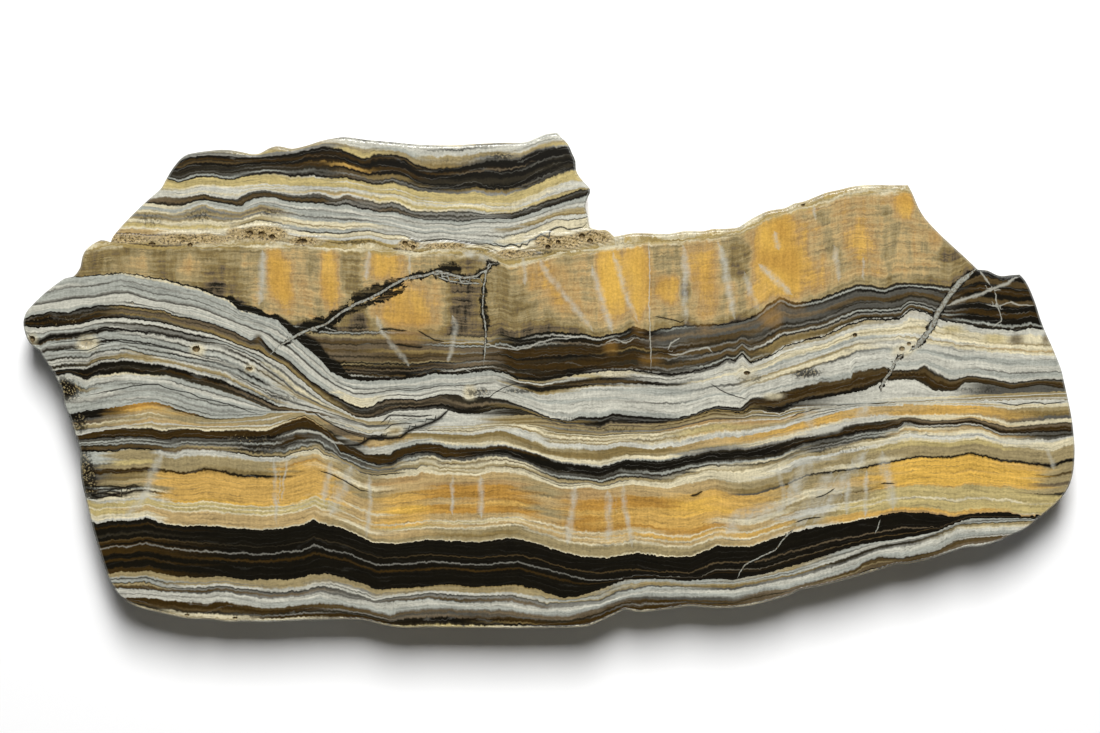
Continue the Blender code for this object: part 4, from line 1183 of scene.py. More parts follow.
THICK_CORES = [
    (9.5, "dove 6, slate 3 / umber 4, slate 5, earth 4, soot 2, dove 2, umber 3, slate 4, soot 1, "
          "bone 2, butter 6, cream 1, butter 5, cream 4, bone 2"),
    (12.0, "khaki 8, butter 4, khaki 3 / umber 4, olive 6, khaki 6, soot 2, dove 2, cream 2, "
           "umber 3, cream 3, bone 2, butter 4, cream 1, butter 5, cream 4, bone 2"),
    (14.7, "khaki 8, butter 3, khaki 3 / umber 3, khaki 6, tan 4, khaki 4, cream 2, umber 2, "
           "cream 4, bone 2, butter 5, cream 1, tan 5, cream 4, bone 2"),
    (17.0, "bone 3, khaki 8 / umber 2.5, amber 26, glow 2, cream 1, butter 3, cream 1, butter 3, "
           "cream 1.5, tan 10, tan 2, cream 1.2"),
    (27.5, "bone 3, khaki 8, olive 3 / black 3, amber 26, glow 2, cream 1, butter 3, cream 1, "
           "butter 3, cream 1.5, tan 10, tan 2, cream 1.2"),
    (30.5, "cream 3, tan 4, ochre 1, amber 6 / amber 24, glow 2, cream 1, butter 3, cream 1, "
           "butter 3, cream 1.5, tan 9, tan 2, cream 1.2"),
    (35.0, "khaki 6, cream 3 "
           "/ khaki 10, tan 10, cream 2, tan 8, cream 1, tan 5, cream 3, khaki 6, cream 0.8"),
    (40.0, "cream 2, fawn 4, tan 3 / tan 4, amber 14, glow 8, amber 10, cream 1.2, amber 3, "
           "butter 2, cream 1.2, tan 8, khaki 4, cream 0.8"),
    (46.0, "cream 2, tan 6, fawn 2 / ochre 12, tan 6, ochre 8, tan 6, cream 1.5, butter 1, cream 1, "
           "tan 3, cream 1.5, khaki 4, olive 3, khaki 3, cream 0.8"),
    (50.5, "cream 2, tan 6, fawn 2 / fawn 2, ochre 14, amber 5, ochre 6, tan 4, cream 1.5, butter 1, "
           "cream 1, tan 3, cream 1.5, khaki 4, olive 4, khaki 3, cream 0.8"),
    (54.5, "cream 2, khaki 5 / khaki 6, tan 8, khaki 6, tan 6, cream 1.5, tan 3, cream 1.2, tan 3, "
           "cream 1.5, khaki 8, cream 0.8"),
    (59.0, "cream 2, fawn 4 / fawn 6, ochre 8, amber 4, ochre 12, cream 1.2, tan 3, cream 1.2, "
           "tan 3, cream 1.5, khaki 8, cream 0.8"),
    (65.0, "cream 2, tan 5 / tan 4, ochre 8, amber 14, ochre 2, tan 3, cream 1.2, amber 3, "
           "cream 1.2, tan 2, cream 1.5, khaki 7, cream 0.8"),
    (70.0, "cream 3, tan 6 / amber 6, glow 12, amber 10, ochre 4, cream 1, amber 3, cream 1.2, "
           "tan 3, cream 1.5, khaki 6, cream 0.8"),
    (75.5, "cream 4, khaki 6, olive 4 / slate 1.5, amber 16, tan 4, cream 5, tan 5, cream 1.5, "
           "amber 4, cream 1.5, tan 5, cream 0.8"),
    (80.5, "bone 5, khaki 7 / soot 1.5, khaki 10, cream 6, khaki 8, bone 5, khaki 8, bone 2"),
    (85.5, "bone 2, khaki 7, cream 3 / black 1.8, khaki 6, tan 6, khaki 4, brown 0.8, khaki 6, "
           "cream 1, butter 3, cream 1, butter 4, amber 5, cream 0.8"),
    (91.0, "cream 2, butter 4, khaki 8 "
           "/ black 1.8, glow 22, amber 1, butter 10, cream 1.5, butter 8, amber 3, fawn 1.5"),
    (98.0, "cream 2, butter 4, khaki 8 / black 2, glow 12, amber 1, glow 10, amber 1.5, butter 10, "
           "cream 1.5, butter 8, amber 3, fawn 1.5"),
    (103.0, "cream 2, khaki 10 "
            "/ black 2, amber 5, glow 12, amber 2, butter 10, cream 1.5, butter 8, fawn 1.5"),
    (105.5, "cream 3, khaki 8 "
            "/ black 2, khaki 5, brown 1.5, khaki 4, earth 2, khaki 4, soot 2, butter 10, bone 2"),
]

BLACK_CORES = [
    (12.0, "black 4, umber 1.5, black 5, soot 2, black 4 / brown 1, umber 4, black 3, umber 2 "
           "/ ash 0.8, umber 6, black 5, umber 2, black 6, umber 4"),
    (24.0, "black 14 / soot 1, black 10 / ash 0.8, black 5, umber 2, black 16"),
    (60.0, "black 14 / brown 0.8, black 10 / ash 0.8, black 5, umber 2, black 16"),
    (90.0, "black 14 / earth 1, black 6 / brown 1, black 8"),
]

BASE_CORES = [
    (14.0, "khaki 3, dove 1, soot 0.8, dove 2 / soot 1, khaki 2, brown 3, soot 1 "
           "/ bone 4, ash 1, bone 3 / umber 5, brown 2, soot 2, khaki 1, cream 1"),
    (20.0, "khaki 6, ash 1, khaki 2, bone 3 / black 1.2, ash 2, brown 2, slate 2 "
           "/ bone 3, ash 0.8, bone 4 / umber 5, brown 2, soot 2, cream 3, olive 1, cream 1"),
    (29.0, "khaki 7, bone 3 / black 1.2, slate 1, earth 3, ash 2 / bone 3, dove 2, dove 2 "
           "/ brown 3, umber 3, soot 2, ash 1, umber 3, cream 2, bone 1"),
    (36.0, "khaki 5, ash 2, bone 2, soot 0.8, bone 2 / slate 2, ash 1, slate 1 "
           "/ bone 3, dove 2, ash 1 / brown 3, ash 1, soot 2, umber 3, cream 1"),
    (44.0, "olive 1, khaki 6, bone 3 / black 1.2, ash 2, brown 2, slate 1 "
           "/ dove 1, bone 3, dove 2, ash 1 / earth 2, slate 2, earth 2, black 4, soot 2, butter 2"),
    (52.0, "olive 1, khaki 6, bone 3 / soot 1, ash 2, earth 3, ash 1 / bone 3, dove 2, ash 1 "
           "/ earth 3, slate 1, umber 3, olive 1, black 2, cream 1.5"),
    (58.0, "khaki 4, slate 0.8, dove 3, khaki 1 / slate 1, ash 3 / bone 3, dove 3, ash 1 "
           "/ earth 4, soot 2, umber 4, slate 1, cream 1"),
    (65.0, "ash 1, dove 3, khaki 2, olive 1, khaki 1 / slate 1, dove 2 / bone 3, dove 3, ash 1 "
           "/ slate 2, umber 3, ash 1, umber 4, cream 1"),
    (72.0, "dove 3, ash 1, dove 2, khaki 2 / olive 1, slate 1 / bone 3, dove 3, ash 1, slate 1 "
           "/ slate 2, brown 2, soot 1, brown 3, cream 1"),
    (79.0, "khaki 3, olive 1, dove 2, slate 0.8, dove 2 / olive 1, ash 2 / bone 3, dove 2, dove 1 "
           "/ earth 3, soot 1, earth 3, ash 1, cream 1"),
    (84.0, "ash 1, dove 2, slate 0.8, bone 3 / soot 2, slate 1 / bone 3, dove 2, ash 0.8 "
           "/ brown 3, khaki 1, earth 3, soot 1, cream 1"),
    (91.0, "dove 2, bone 2, slate 0.8, ash 1 / soot 1.5, ash 1 / bone 3, dove 2, dove 1, ash 0.6 "
           "/ soot 1, brown 5, black 1, khaki 1"),
    (99.0, "dove 2, slate 1, dove 1 / soot 1, khaki 3, cream 2 / bone 3, dove 3, ash 0.8, bone 1 "
           "/ brown 3, earth 2, bone 2"),
]
# Each pack from its first bed line to its last, laid over the packs above it.
PACKS = [
    (DARK_BED_BASE, WEDGE_FLOOR, WEDGE_CORES),
    (WEDGE_FLOOR, AMBER_BED_TOP, TAN_CORES),
    (AMBER_BED_TOP, BLACK_BAND_TOP, THICK_CORES),
    (BLACK_BAND_TOP, BLACK_BAND_BASE, BLACK_CORES),
    (BLACK_BAND_BASE, SLAB_BASE, BASE_CORES),
]
belt_colour = beds_along(bed_depth, BED_LEVELS[:BED_LINES.index(DARK_BED_BASE) + 1], BELT_CORES)
for roof, foot, cores in PACKS:
    first, last = BED_LINES.index(roof), BED_LINES.index(foot)
    belt_colour = lay_over(
        reckon("GREATER_THAN", bed_depth, BED_LEVELS[first]), belt_colour,
        beds_along(bed_depth, BED_LEVELS[first:last + 1], cores))

# Small pockets of other calcite between the beds, placed like the windows.
POCKETS = [
    ("cream", [(39.4, 43.1, 0.9, 0.5, -1.0, 0.9), (47.0, 39.2, 0.55, 0.6, 0.0, 0.9),
               (61.5, 37.4, 1.5, 0.28, 0.0, 0.9), (77.4, 39.6, 0.9, 0.3, 0.0, 0.8),
               (91.0, 34.9, 0.8, 0.7, -1.0, 0.7)]),
    ("olive", [(39.5, 43.1, 0.5, 0.25, -1.0, 0.9), (81.7, 33.4, 1.0, 0.7, -3.0, 0.8)]),
    ("butter", [(95.3, 32.9, 1.1, 0.4, 0.0, 0.7), (99.5, 33.8, 1.2, 0.45, 0.0, 0.7),
                (58.6, 37.6, 1.2, 0.16, 0.0, 0.9)]),
    ("brown", [(101.6, 33.9, 0.7, 0.5, 0.0, 0.8), (104.6, 33.9, 0.35, 0.45, 0.0, 0.8),
               (25.8, 33.9, 0.35, 0.5, 0.0, 0.9)]),
]
for pocket, spots in POCKETS:
    belt_colour = tint(mark(pocket + "_pocket", patches(spots)), belt_colour, pocket)

# Where the packs meet
# The amber band lies across the sloping belt below it, and the upper block sits on the
# amber band over a thin spongy crust.
above_floor = reckon("ADD", BED_WOBBLE, mark("above_floor", line_across(SEAM_FLOOR) - DOWN))
BLOCK_ENDS = 60.0
FAR_BELOW = -5.0
BLOCK_HEIGHT = np.where(ACROSS < BLOCK_ENDS, line_across(BLOCK_LINES[-1]) - DOWN, FAR_BELOW)
above_roof = reckon("ADD", BED_WOBBLE, mark("above_roof", BLOCK_HEIGHT))
MARGIN_WIDTH = [
    (7.0, 0.10), (12.0, 0.14), (18.0, 0.20), (20.0, 0.28), (22.5, 0.24), (23.3, 0.9), (26.0, 0.8),
    (27.0, 0.3), (28.6, 1.1), (31.5, 1.8), (34.0, 1.6), (35.0, 0.4), (60.0, 0.2),
]
margin_width = scaled(CRINKLE, 0.5, mark("margin_width", line_across(MARGIN_WIDTH)))
amber_colour = tint(fade(above_floor, margin_width, times(margin_width, 0.7)), amber_colour, "black")
SOFT_JOIN = 0.04
inside_amber = fade(above_floor, -SOFT_JOIN, SOFT_JOIN)
inside_block = fade(above_roof, -SOFT_JOIN, SOFT_JOIN)
colour = lay_over(inside_amber, belt_colour, amber_colour)
colour = lay_over(inside_block, colour, block_colour)

# Growth lines and speckle
# Fine growth lines follow every bed. Some beds are speckled with black grains, and the
# thin crusts between the packs are spongy.
own_depth = scaled(inside_amber, reckon("SUBTRACT", amber_depth, bed_depth), bed_depth)
own_depth = scaled(inside_block, reckon("SUBTRACT", block_depth, own_depth), own_depth)
growth_line = grain(along_beds(own_depth, 0.16, 3.1, WANDER), 1.0, 3.0, 0.6)
fine_line = grain(along_beds(own_depth, 0.5, 7.0, RIPPLE), 1.0, 2.0, 0.6)
slow_growth = grain(along_beds(own_depth, 0.09, 0.5, 2.0), 1.0, 2.0)
speckle = grain(PLACE, 0.22, 2.0, 0.7)
fibre = grain(along_beds(own_depth, 3.2, 0.35, 7.0), 1.0, 2.0)

brightness = nodes.new("ShaderNodeRGBToBW")
links.new(colour, brightness.inputs[0])
pale = fade(brightness.outputs[0], 0.10, 0.45)
dark = fade(brightness.outputs[0], 0.09, 0.025)
phase = scaled(slow_growth, 5.0, times(own_depth, 1.9))
pause = reckon("ADD", reckon("PINGPONG", phase, 0.5), times(reckon("SUBTRACT", fine_line, 0.42), 0.3))
pause = fade(pause, 0.10, 0.01)
stillness = scaled(window, -0.85, 1.0, clamp=True)
colour = tint(times(times(pause, pale), times(stillness, 0.42)), colour, "slate")
in_black_band = times(
    reckon("GREATER_THAN", own_depth, BED_LEVELS[BED_LINES.index(BLACK_BAND_TOP)]),
    reckon("LESS_THAN", own_depth, BED_LEVELS[BED_LINES.index(BLACK_BAND_BASE)]))
laminated = times(times(pause, dark), scaled(in_black_band, -0.28, 0.34))
colour = tint(laminated, colour, "ash")

SPECKLED = [
    (6.8, 38.9, 1.7, 1.3, 0.0, 1.0), (8.1, 42.4, 0.9, 1.0, 0.0, 0.9), (8.8, 47.5, 1.0, 2.9, 0.15, 0.9),
    (5.5, 32.0, 3.5, 0.8, 0.0, 0.6), (50.1, 15.6, 1.9, 0.4, 0.0, 0.8), (19.7, 21.6, 1.8, 0.7, 0.0, 0.7),
    (27.0, 21.2, 1.6, 0.6, 0.0, 0.7), (15.0, 21.9, 1.5, 1.0, 0.0, 0.6),
    (48.0, 39.2, 1.4, 0.5, 0.0, 0.8), (52.0, 39.1, 2.2, 0.3, 0.0, 0.8),
    (61.5, 37.6, 2.0, 0.5, 0.0, 0.5), (80.8, 37.3, 1.7, 0.6, -1.0, 0.9),
    (75.0, 37.8, 1.6, 0.4, 0.0, 0.8), (60.5, 42.9, 4.5, 0.5, 0.0, 0.6),
    (66.0, 42.8, 2.5, 0.5, 0.0, 0.5), (84.0, 44.9, 3.6, 0.6, -4.0, 0.6),
    (98.0, 39.0, 3.0, 0.4, 0.0, 0.6), (91.0, 37.4, 2.4, 0.5, 0.0, 0.6),
    (25.0, 43.9, 3.0, 0.6, 0.0, 0.7), (57.0, 41.9, 1.6, 0.4, 0.0, 0.6),
    (40.0, 60.6, 5.0, 0.8, 0.0, 0.4), (27.5, 39.8, 3.0, 0.5, 1.6, 0.7),
    (21.5, 37.9, 3.0, 0.4, 2.5, 0.6), (36.0, 24.2, 3.0, 0.4, 0.0, 0.7),
    (26.0, 44.9, 2.4, 0.5, 0.0, 0.6), (48.0, 25.0, 2.5, 0.35, 0.0, 0.6),
    (53.5, 25.3, 3.0, 0.4, -4.0, 0.8), (15.0, 31.4, 5.0, 0.5, 0.0, 0.5),
]
grains = mark("grains", patches(SPECKLED))
grain_share = fade(scaled(grains, 0.34, speckle), 0.66, 0.78)
colour = tint(times(grain_share, grains, clamp=True), colour, "black")
pale_grain = fade(scaled(grains, -0.22, speckle), 0.26, 0.16)
colour = tint(times(pale_grain, grains, clamp=True), colour, "khaki")

SPONGY = patches([(place, down, 1.1 * half_width, 1.1 * half_height, 0.0, 1.0)
                  for place, down, half_width, half_height in SPONGE])
spongy = mark("spongy", SPONGY)
crumb = grain(drawn_out(PLACE, 1.0, 1.3, 1.0), 0.24, 3.0, 0.75)
sponge_colour = ramp_of(crumb, [
    (0.32, "black"), (0.38, "umber"), (0.43, "brown"), (0.47, "crust"), (0.56, "tan"), (0.74, "cream")])
colour = lay_over(fade(scaled(CRINKLE, 0.5, spongy), 0.25, 0.6), colour, sponge_colour)

HALOS = [
    (8.7, 34.3, 1.0, 0.65, 0.0, 0.9), (19.8, 35.0, 0.75, 0.6, 0.0, 0.9),
    (25.0, 36.8, 0.5, 0.35, 0.0, 0.8), (3.2, 33.9, 0.5, 0.45, 0.0, 0.6),
    (74.7, 37.4, 1.1, 0.5, 0.0, 0.5), (90.4, 34.9, 0.9, 0.6, -1.0, 0.8),
]
colour = tint(mark("halo", patches(HALOS)), colour, "cream")

shade_of_line = times(swing(growth_line), times(stillness, 1.25))
shade_of_line = scaled(swing(fine_line), times(stillness, 0.8), shade_of_line)
shade_of_line = scaled(swing(speckle), 0.8, shade_of_line)
shade_of_line = scaled(swing(fibre), 0.45, shade_of_line)
shade_of_line = reckon("ADD", shade_of_line, 1.0)
colour = lay_over(1.0, colour, three_ways(shade_of_line, shade_of_line, shade_of_line), "MULTIPLY")

# Healed cracks
# Thin dark seams and pale threads between beds, cracks healed with milky calcite, a grey
# vein with black margins, and the long fracture at the right, filled with pale rubble.


def nearest_trace(traces, reach):
    """Signed distance to the nearest traced crack, and the crack's half width there."""
    offset = np.full(len(ACROSS), reach)
    half_width = np.zeros(len(ACROSS))
    for full_width, points in traces:
        lengths = [math.dist(start, end) for start, end in zip(points, points[1:])]
        gone = 0.0
        for (start_x, start_y), (end_x, end_y), length in zip(points, points[1:], lengths):
            near = np.nonzero(
                (np.abs(ACROSS - (start_x + end_x) / 2.0) < abs(end_x - start_x) / 2.0 + reach)
                & (np.abs(DOWN - (start_y + end_y) / 2.0) < abs(end_y - start_y) / 2.0 + reach))[0]
            along_x, along_y = (end_x - start_x) / length, (end_y - start_y) / length
            from_x, from_y = ACROSS[near] - start_x, DOWN[near] - start_y
            along = np.clip(from_x * along_x + from_y * along_y, 0.0, length)
            away_x, away_y = from_x - along * along_x, from_y - along * along_y
            distance = np.hypot(away_x, away_y)
            closer = distance < np.abs(offset[near])
            side = np.where(along_x * away_y - along_y * away_x < 0.0, -1.0, 1.0)
            share = (gone + along) / sum(lengths)
            tapered = 0.5 * full_width * np.clip(9.0 * share * (1.0 - share), 0.0, 1.0)
            offset[near[closer]] = (side * distance)[closer]
            half_width[near[closer]] = tapered[closer]
            gone += length
    return offset, half_width * np.clip((reach - 0.3 - np.abs(offset)) / 0.3, 0.0, 1.0)


def crack_reading(name, traces, wobble, reach=1.0):
    """Distance from a crack's middle with a ragged wobble, and its half width."""
    offset, half_width = nearest_trace(traces, reach)
    ragged = reckon("ABSOLUTE", scaled(CRINKLE, wobble, mark(name, offset)))
    plain = reckon("SUBTRACT", mark(name + "_plain", np.abs(offset)), 0.3)
    return reckon("MAXIMUM", ragged, plain), mark(name + "_width", half_width)


# Each crack by its full width and the points it runs through.
DARK_SEAMS = [
    (0.16, [(49.0, 24.6), (49.5, 24.3), (50.0, 24.6), (50.5, 24.7), (51.0, 24.4), (51.5, 24.5),
            (52.0, 24.8), (52.2, 24.4), (52.7, 24.5), (53.0, 24.0), (53.5, 23.9), (54.1, 23.4),
            (54.9, 23.8), (55.0, 23.1), (55.6, 22.8), (56.2, 22.6), (56.7, 22.9), (57.5, 22.9),
            (58.3, 22.7), (58.8, 22.1)]),
    (0.12, [(40.5, 23.6), (41.6, 24.2), (44.5, 23.9), (47.0, 24.3), (49.0, 24.6)]),
    (0.10, [(4.5, 34.5), (6.0, 34.2), (7.8, 34.1), (10.0, 33.8), (12.5, 34.25), (14.0, 34.4),
            (16.5, 34.8), (18.5, 35.2), (20.5, 35.8), (23.0, 36.3)]),
    (0.10, [(5.0, 35.2), (6.0, 35.0), (8.8, 35.05), (10.0, 34.5), (11.0, 34.35)]),
    (0.11, [(8.3, 39.6), (9.5, 39.4), (10.5, 39.2), (11.8, 38.95), (13.0, 38.65), (14.5, 38.45),
            (15.8, 38.4), (16.3, 38.7), (17.2, 38.95), (19.0, 39.3), (19.8, 39.7), (21.5, 40.1),
            (23.5, 40.6), (24.5, 41.0), (26.2, 41.5)]),
    (0.38, [(34.4, 44.5), (35.9, 44.5), (36.7, 44.0), (37.3, 43.8), (38.2, 43.8), (39.4, 43.83),
            (40.0, 43.75), (40.75, 43.2), (41.5, 42.8), (42.5, 42.5), (43.2, 42.2), (44.0, 41.8),
            (44.6, 41.2), (45.1, 40.7)]),
    (0.12, [(31.0, 40.96), (31.5, 41.3), (32.1, 41.8), (33.5, 42.6), (34.8, 43.2), (36.3, 43.6)]),
    (0.16, [(38.0, 42.4), (39.0, 41.5), (40.5, 41.55), (42.0, 41.65), (43.3, 41.5)]),
    (0.10, [(38.4, 43.1), (39.2, 42.4), (40.6, 42.3), (41.3, 42.4)]),
    (0.10, [(71.0, 38.3), (72.0, 39.0), (73.5, 39.6), (74.8, 40.0)]),
    (0.10, [(47.8, 39.9), (48.9, 39.8), (49.4, 39.3), (50.0, 39.0), (50.3, 38.8), (51.3, 38.45),
            (52.5, 38.3)]),
    (0.10, [(99.5, 40.2), (101.0, 40.45), (101.7, 40.55), (102.5, 40.35), (103.5, 40.2), (104.5, 40.4),
            (105.5, 40.3), (106.8, 40.0)]),
    (0.10, [(79.1, 41.8), (79.8, 41.36), (80.4, 41.2), (81.6, 40.9), (82.2, 40.86)]),
    (0.22, [(38.0, 32.9), (39.2, 32.9), (40.2, 33.05), (40.7, 33.0)]),
    (0.24, [(39.4, 34.4), (40.6, 34.6), (41.6, 34.7), (42.4, 34.75)]),
    (0.14, [(41.7, 33.0), (42.5, 33.5), (43.5, 34.0), (44.5, 34.2)]),
    (0.18, [(8.8, 48.7), (11.0, 48.6), (12.5, 48.75), (13.4, 48.45), (14.0, 48.6)]),
    (0.26, [(8.8, 49.6), (11.0, 49.1), (12.5, 49.4), (13.5, 49.0), (14.7, 49.0)]),
    (0.12, [(8.6, 49.9), (10.0, 49.75), (11.0, 49.55), (12.8, 49.75)]),
    (0.12, [(31.8, 47.0), (33.0, 47.4), (34.5, 48.1), (36.0, 49.0), (37.0, 49.2)]),
    (0.26, [(69.0, 49.6), (69.6, 49.5), (70.2, 49.1)]),
    (0.14, [(79.5, 52.3), (80.5, 51.9), (81.5, 51.8), (82.2, 51.7)]),
    (0.14, [(81.5, 49.8), (82.5, 49.5), (83.5, 48.8)]),
    (0.14, [(88.0, 48.35), (89.5, 48.35)]),
    (0.13, [(65.5, 31.6), (68.0, 32.2), (68.5, 32.0)]),
]
PALE_THREADS = [
    (0.18, [(29.0, 43.3), (30.0, 43.15), (31.2, 43.15), (32.0, 43.35), (32.7, 43.8), (33.3, 44.2),
            (34.6, 44.4)]),
    (0.26, [(94.6, 30.6), (95.8, 30.1), (97.5, 29.6), (99.0, 29.0), (100.5, 28.4), (102.0, 27.6)]),
    (0.12, [(98.5, 30.5), (100.0, 30.6), (101.0, 30.2), (102.0, 30.5), (103.5, 30.5)]),
    (0.10, [(99.5, 29.0), (99.7, 30.5), (100.2, 32.0), (99.2, 32.8)]),
    (0.16, [(98.0, 27.1), (98.5, 27.8), (99.0, 28.5)]),
    (0.10, [(64.9, 23.8), (65.0, 27.0), (64.9, 30.0), (65.0, 33.0), (65.1, 37.0)]),
    (0.10, [(31.0, 33.1), (32.0, 32.7), (33.0, 32.95), (33.7, 33.1)]),
    (0.12, [(43.5, 34.4), (45.0, 34.2), (46.5, 34.3), (48.0, 34.2), (49.0, 34.5), (50.0, 34.8),
            (51.5, 34.95), (53.0, 34.7), (54.0, 34.2), (55.5, 33.9), (57.0, 33.8), (58.0, 33.7),
            (60.0, 33.9)]),
    (0.10, [(44.0, 37.1), (45.5, 37.1), (46.3, 36.8), (47.2, 37.2)]),
    (0.12, [(60.5, 34.3), (61.4, 33.9), (62.5, 34.3), (63.5, 33.8)]),
    (0.12, [(66.8, 35.0), (67.0, 34.3), (68.0, 33.8)]),
    (0.14, [(66.8, 35.4), (68.0, 35.45), (69.5, 35.0), (70.8, 34.8), (71.3, 35.3)]),
]
MILKY_CRACKS = [
    (0.7, [(26.2, 25.0), (26.3, 27.5), (26.0, 30.5)]),
    (0.45, [(36.9, 25.0), (36.6, 28.0)]),
    (0.25, [(41.0, 25.5), (41.0, 27.5)]),
    (0.4, [(52.4, 25.8), (52.5, 28.5)]),
    (0.5, [(53.8, 25.8), (54.8, 27.5), (56.0, 29.0), (57.7, 31.0), (59.4, 33.2)]),
    (0.4, [(37.5, 31.5), (38.3, 33.2), (39.3, 34.6), (40.5, 36.0), (41.0, 36.6)]),
    (0.5, [(45.2, 31.5), (45.6, 32.5), (45.3, 34.5), (44.8, 36.2)]),
    (0.6, [(59.2, 26.5), (59.8, 28.5), (60.3, 30.5), (61.3, 33.3)]),
    (0.5, [(61.3, 25.2), (62.0, 27.5), (62.8, 30.0), (63.8, 32.2)]),
    (0.6, [(68.4, 24.5), (68.6, 27.5), (68.4, 29.5), (68.6, 32.5)]),
    (0.6, [(71.8, 24.0), (72.4, 26.0), (72.9, 29.0), (73.5, 32.0)]),
    (0.5, [(74.4, 27.2), (74.9, 28.8), (75.8, 31.0)]),
    (0.6, [(75.8, 26.4), (77.2, 27.6), (79.2, 29.5)]),
    (0.5, [(77.4, 23.2), (77.7, 24.2), (77.9, 25.0)]),
    (0.4, [(83.4, 24.5), (83.7, 26.5), (83.9, 28.2)]),
    (0.25, [(81.4, 20.5), (81.6, 22.0)]),
    (0.25, [(86.3, 25.8), (86.4, 28.0)]),
    (0.7, [(16.3, 45.2), (15.8, 46.2), (15.1, 47.8), (14.7, 49.2), (13.8, 50.4), (12.4, 51.6)]),
    (0.35, [(27.4, 45.8), (27.5, 49.0), (27.6, 52.6)]),
    (0.2, [(28.7, 45.8), (28.5, 47.5), (28.2, 50.0)]),
    (0.5, [(33.2, 46.0), (32.6, 48.5), (32.4, 50.3)]),
    (1.0, [(35.2, 46.6), (34.5, 48.5), (33.6, 50.0), (33.0, 51.5)]),
    (0.4, [(36.9, 47.4), (37.0, 50.0), (36.7, 53.8)]),
    (0.3, [(45.2, 47.5), (45.2, 51.5)]),
    (0.5, [(48.1, 47.5), (48.1, 51.8)]),
    (0.6, [(57.6, 48.5), (57.3, 50.5), (56.7, 54.5)]),
    (0.6, [(60.8, 49.0), (60.9, 51.5), (60.8, 54.2)]),
    (0.45, [(62.3, 48.3), (62.4, 50.5), (63.0, 53.0), (63.2, 54.8)]),
    (1.2, [(81.0, 45.6), (80.2, 47.4), (79.4, 49.0), (78.8, 50.5)]),
    (1.4, [(78.5, 50.9), (76.0, 51.2), (73.8, 51.8), (72.6, 53.4)]),
    (1.3, [(83.2, 47.2), (82.4, 48.8), (81.3, 50.4), (79.6, 52.6)]),
    (0.9, [(86.8, 44.9), (85.8, 46.2), (84.6, 47.6), (83.6, 49.0), (82.4, 51.0), (81.2, 52.4)]),
    (0.9, [(88.2, 45.0), (88.5, 47.0), (89.0, 48.5), (89.3, 51.0)]),
    (0.4, [(77.8, 46.8), (78.3, 49.0), (78.5, 51.0)]),
    (0.5, [(84.8, 46.5), (84.8, 49.5), (84.5, 51.5)]),
    (0.4, [(86.6, 47.0), (86.5, 51.8)]),
    (0.4, [(104.6, 44.8), (105.2, 46.2), (105.4, 47.0)]),
    (0.7, [(80.7, 40.6), (80.9, 42.0), (81.6, 43.2), (84.5, 42.6)]),
    (0.8, [(87.2, 39.4), (86.4, 40.8), (85.8, 42.2)]),
    (0.6, [(46.2, 25.2), (47.5, 25.5), (49.0, 26.0), (50.0, 26.4)]),
    (0.7, [(91.2, 34.3), (90.3, 35.0), (89.4, 36.0)]),
]
crack, crack_width = crack_reading("milky_crack", MILKY_CRACKS, 0.7, 1.5)
wisps = grain(drawn_out(PLACE, 1.0, 0.6, 1.0), 1.0, 4.0, 0.7)
milk = fade(crack, times(crack_width, 1.9), 0.0)
milk = times(milk, scaled(wisps, 3.0, -0.8))
milk = times(milk, scaled(fine_line, 1.4, 0.1), clamp=True)
thin_core = times(fade(crack, 0.15, 0.02), fade(crack_width, 0.0, 0.2))
thin_core = times(thin_core, scaled(wisps, 3.0, -1.0), clamp=True)
colour = tint(reckon("MAXIMUM", times(milk, 0.8), times(thin_core, 0.75)), colour, "bone")

seam, seam_width = crack_reading("dark_seam", DARK_SEAMS, 0.22)
seam_width = times(seam_width, scaled(speckle, 2.4, 0.1))
colour = tint(fade(seam, times(seam_width, 1.5), 0.0), colour, "black")
thread, thread_width = crack_reading("pale_thread", PALE_THREADS, 0.42)
thread_width = times(thread_width, scaled(speckle, 2.0, 0.2))
colour = tint(times(fade(thread, times(thread_width, 1.6), 0.0), 0.7), colour, "bone")

GREY_VEIN = [
    (0.27, [(26.7, 35.8), (28.0, 34.5), (29.8, 33.5), (31.0, 32.9), (32.5, 32.5), (33.3, 31.9),
            (34.0, 31.3), (35.8, 30.3), (37.2, 29.7), (38.0, 29.3), (39.3, 28.5), (40.5, 27.9),
            (42.5, 27.5), (43.8, 27.1), (45.2, 27.5), (46.5, 27.8), (47.6, 27.6), (48.6, 27.0),
            (49.2, 26.4), (50.0, 26.4)]),
    (0.18, [(43.6, 27.6), (45.0, 28.1), (46.5, 28.35), (48.2, 28.3)]),
    (0.16, [(48.9, 26.2), (48.5, 27.8), (48.3, 29.5), (48.3, 31.2), (48.6, 33.0), (48.5, 35.0),
            (48.4, 36.6)]),
    (0.56, [(97.8, 26.8), (96.2, 28.0), (95.8, 28.4), (94.8, 29.7), (93.8, 31.2), (93.5, 32.0),
            (93.0, 33.0), (91.8, 34.5), (90.8, 35.2)]),
    (0.24, [(90.5, 35.2), (89.5, 36.2), (88.9, 37.5), (88.4, 38.0), (88.2, 38.6), (88.05, 39.4)]),
    (0.14, [(79.7, 52.7), (79.0, 53.3), (78.2, 54.1), (77.5, 55.0), (76.0, 55.7), (74.5, 56.5),
            (74.0, 57.2), (73.7, 57.9)]),
    (0.12, [(88.0, 52.0), (87.8, 52.7), (87.5, 53.3)]),
]
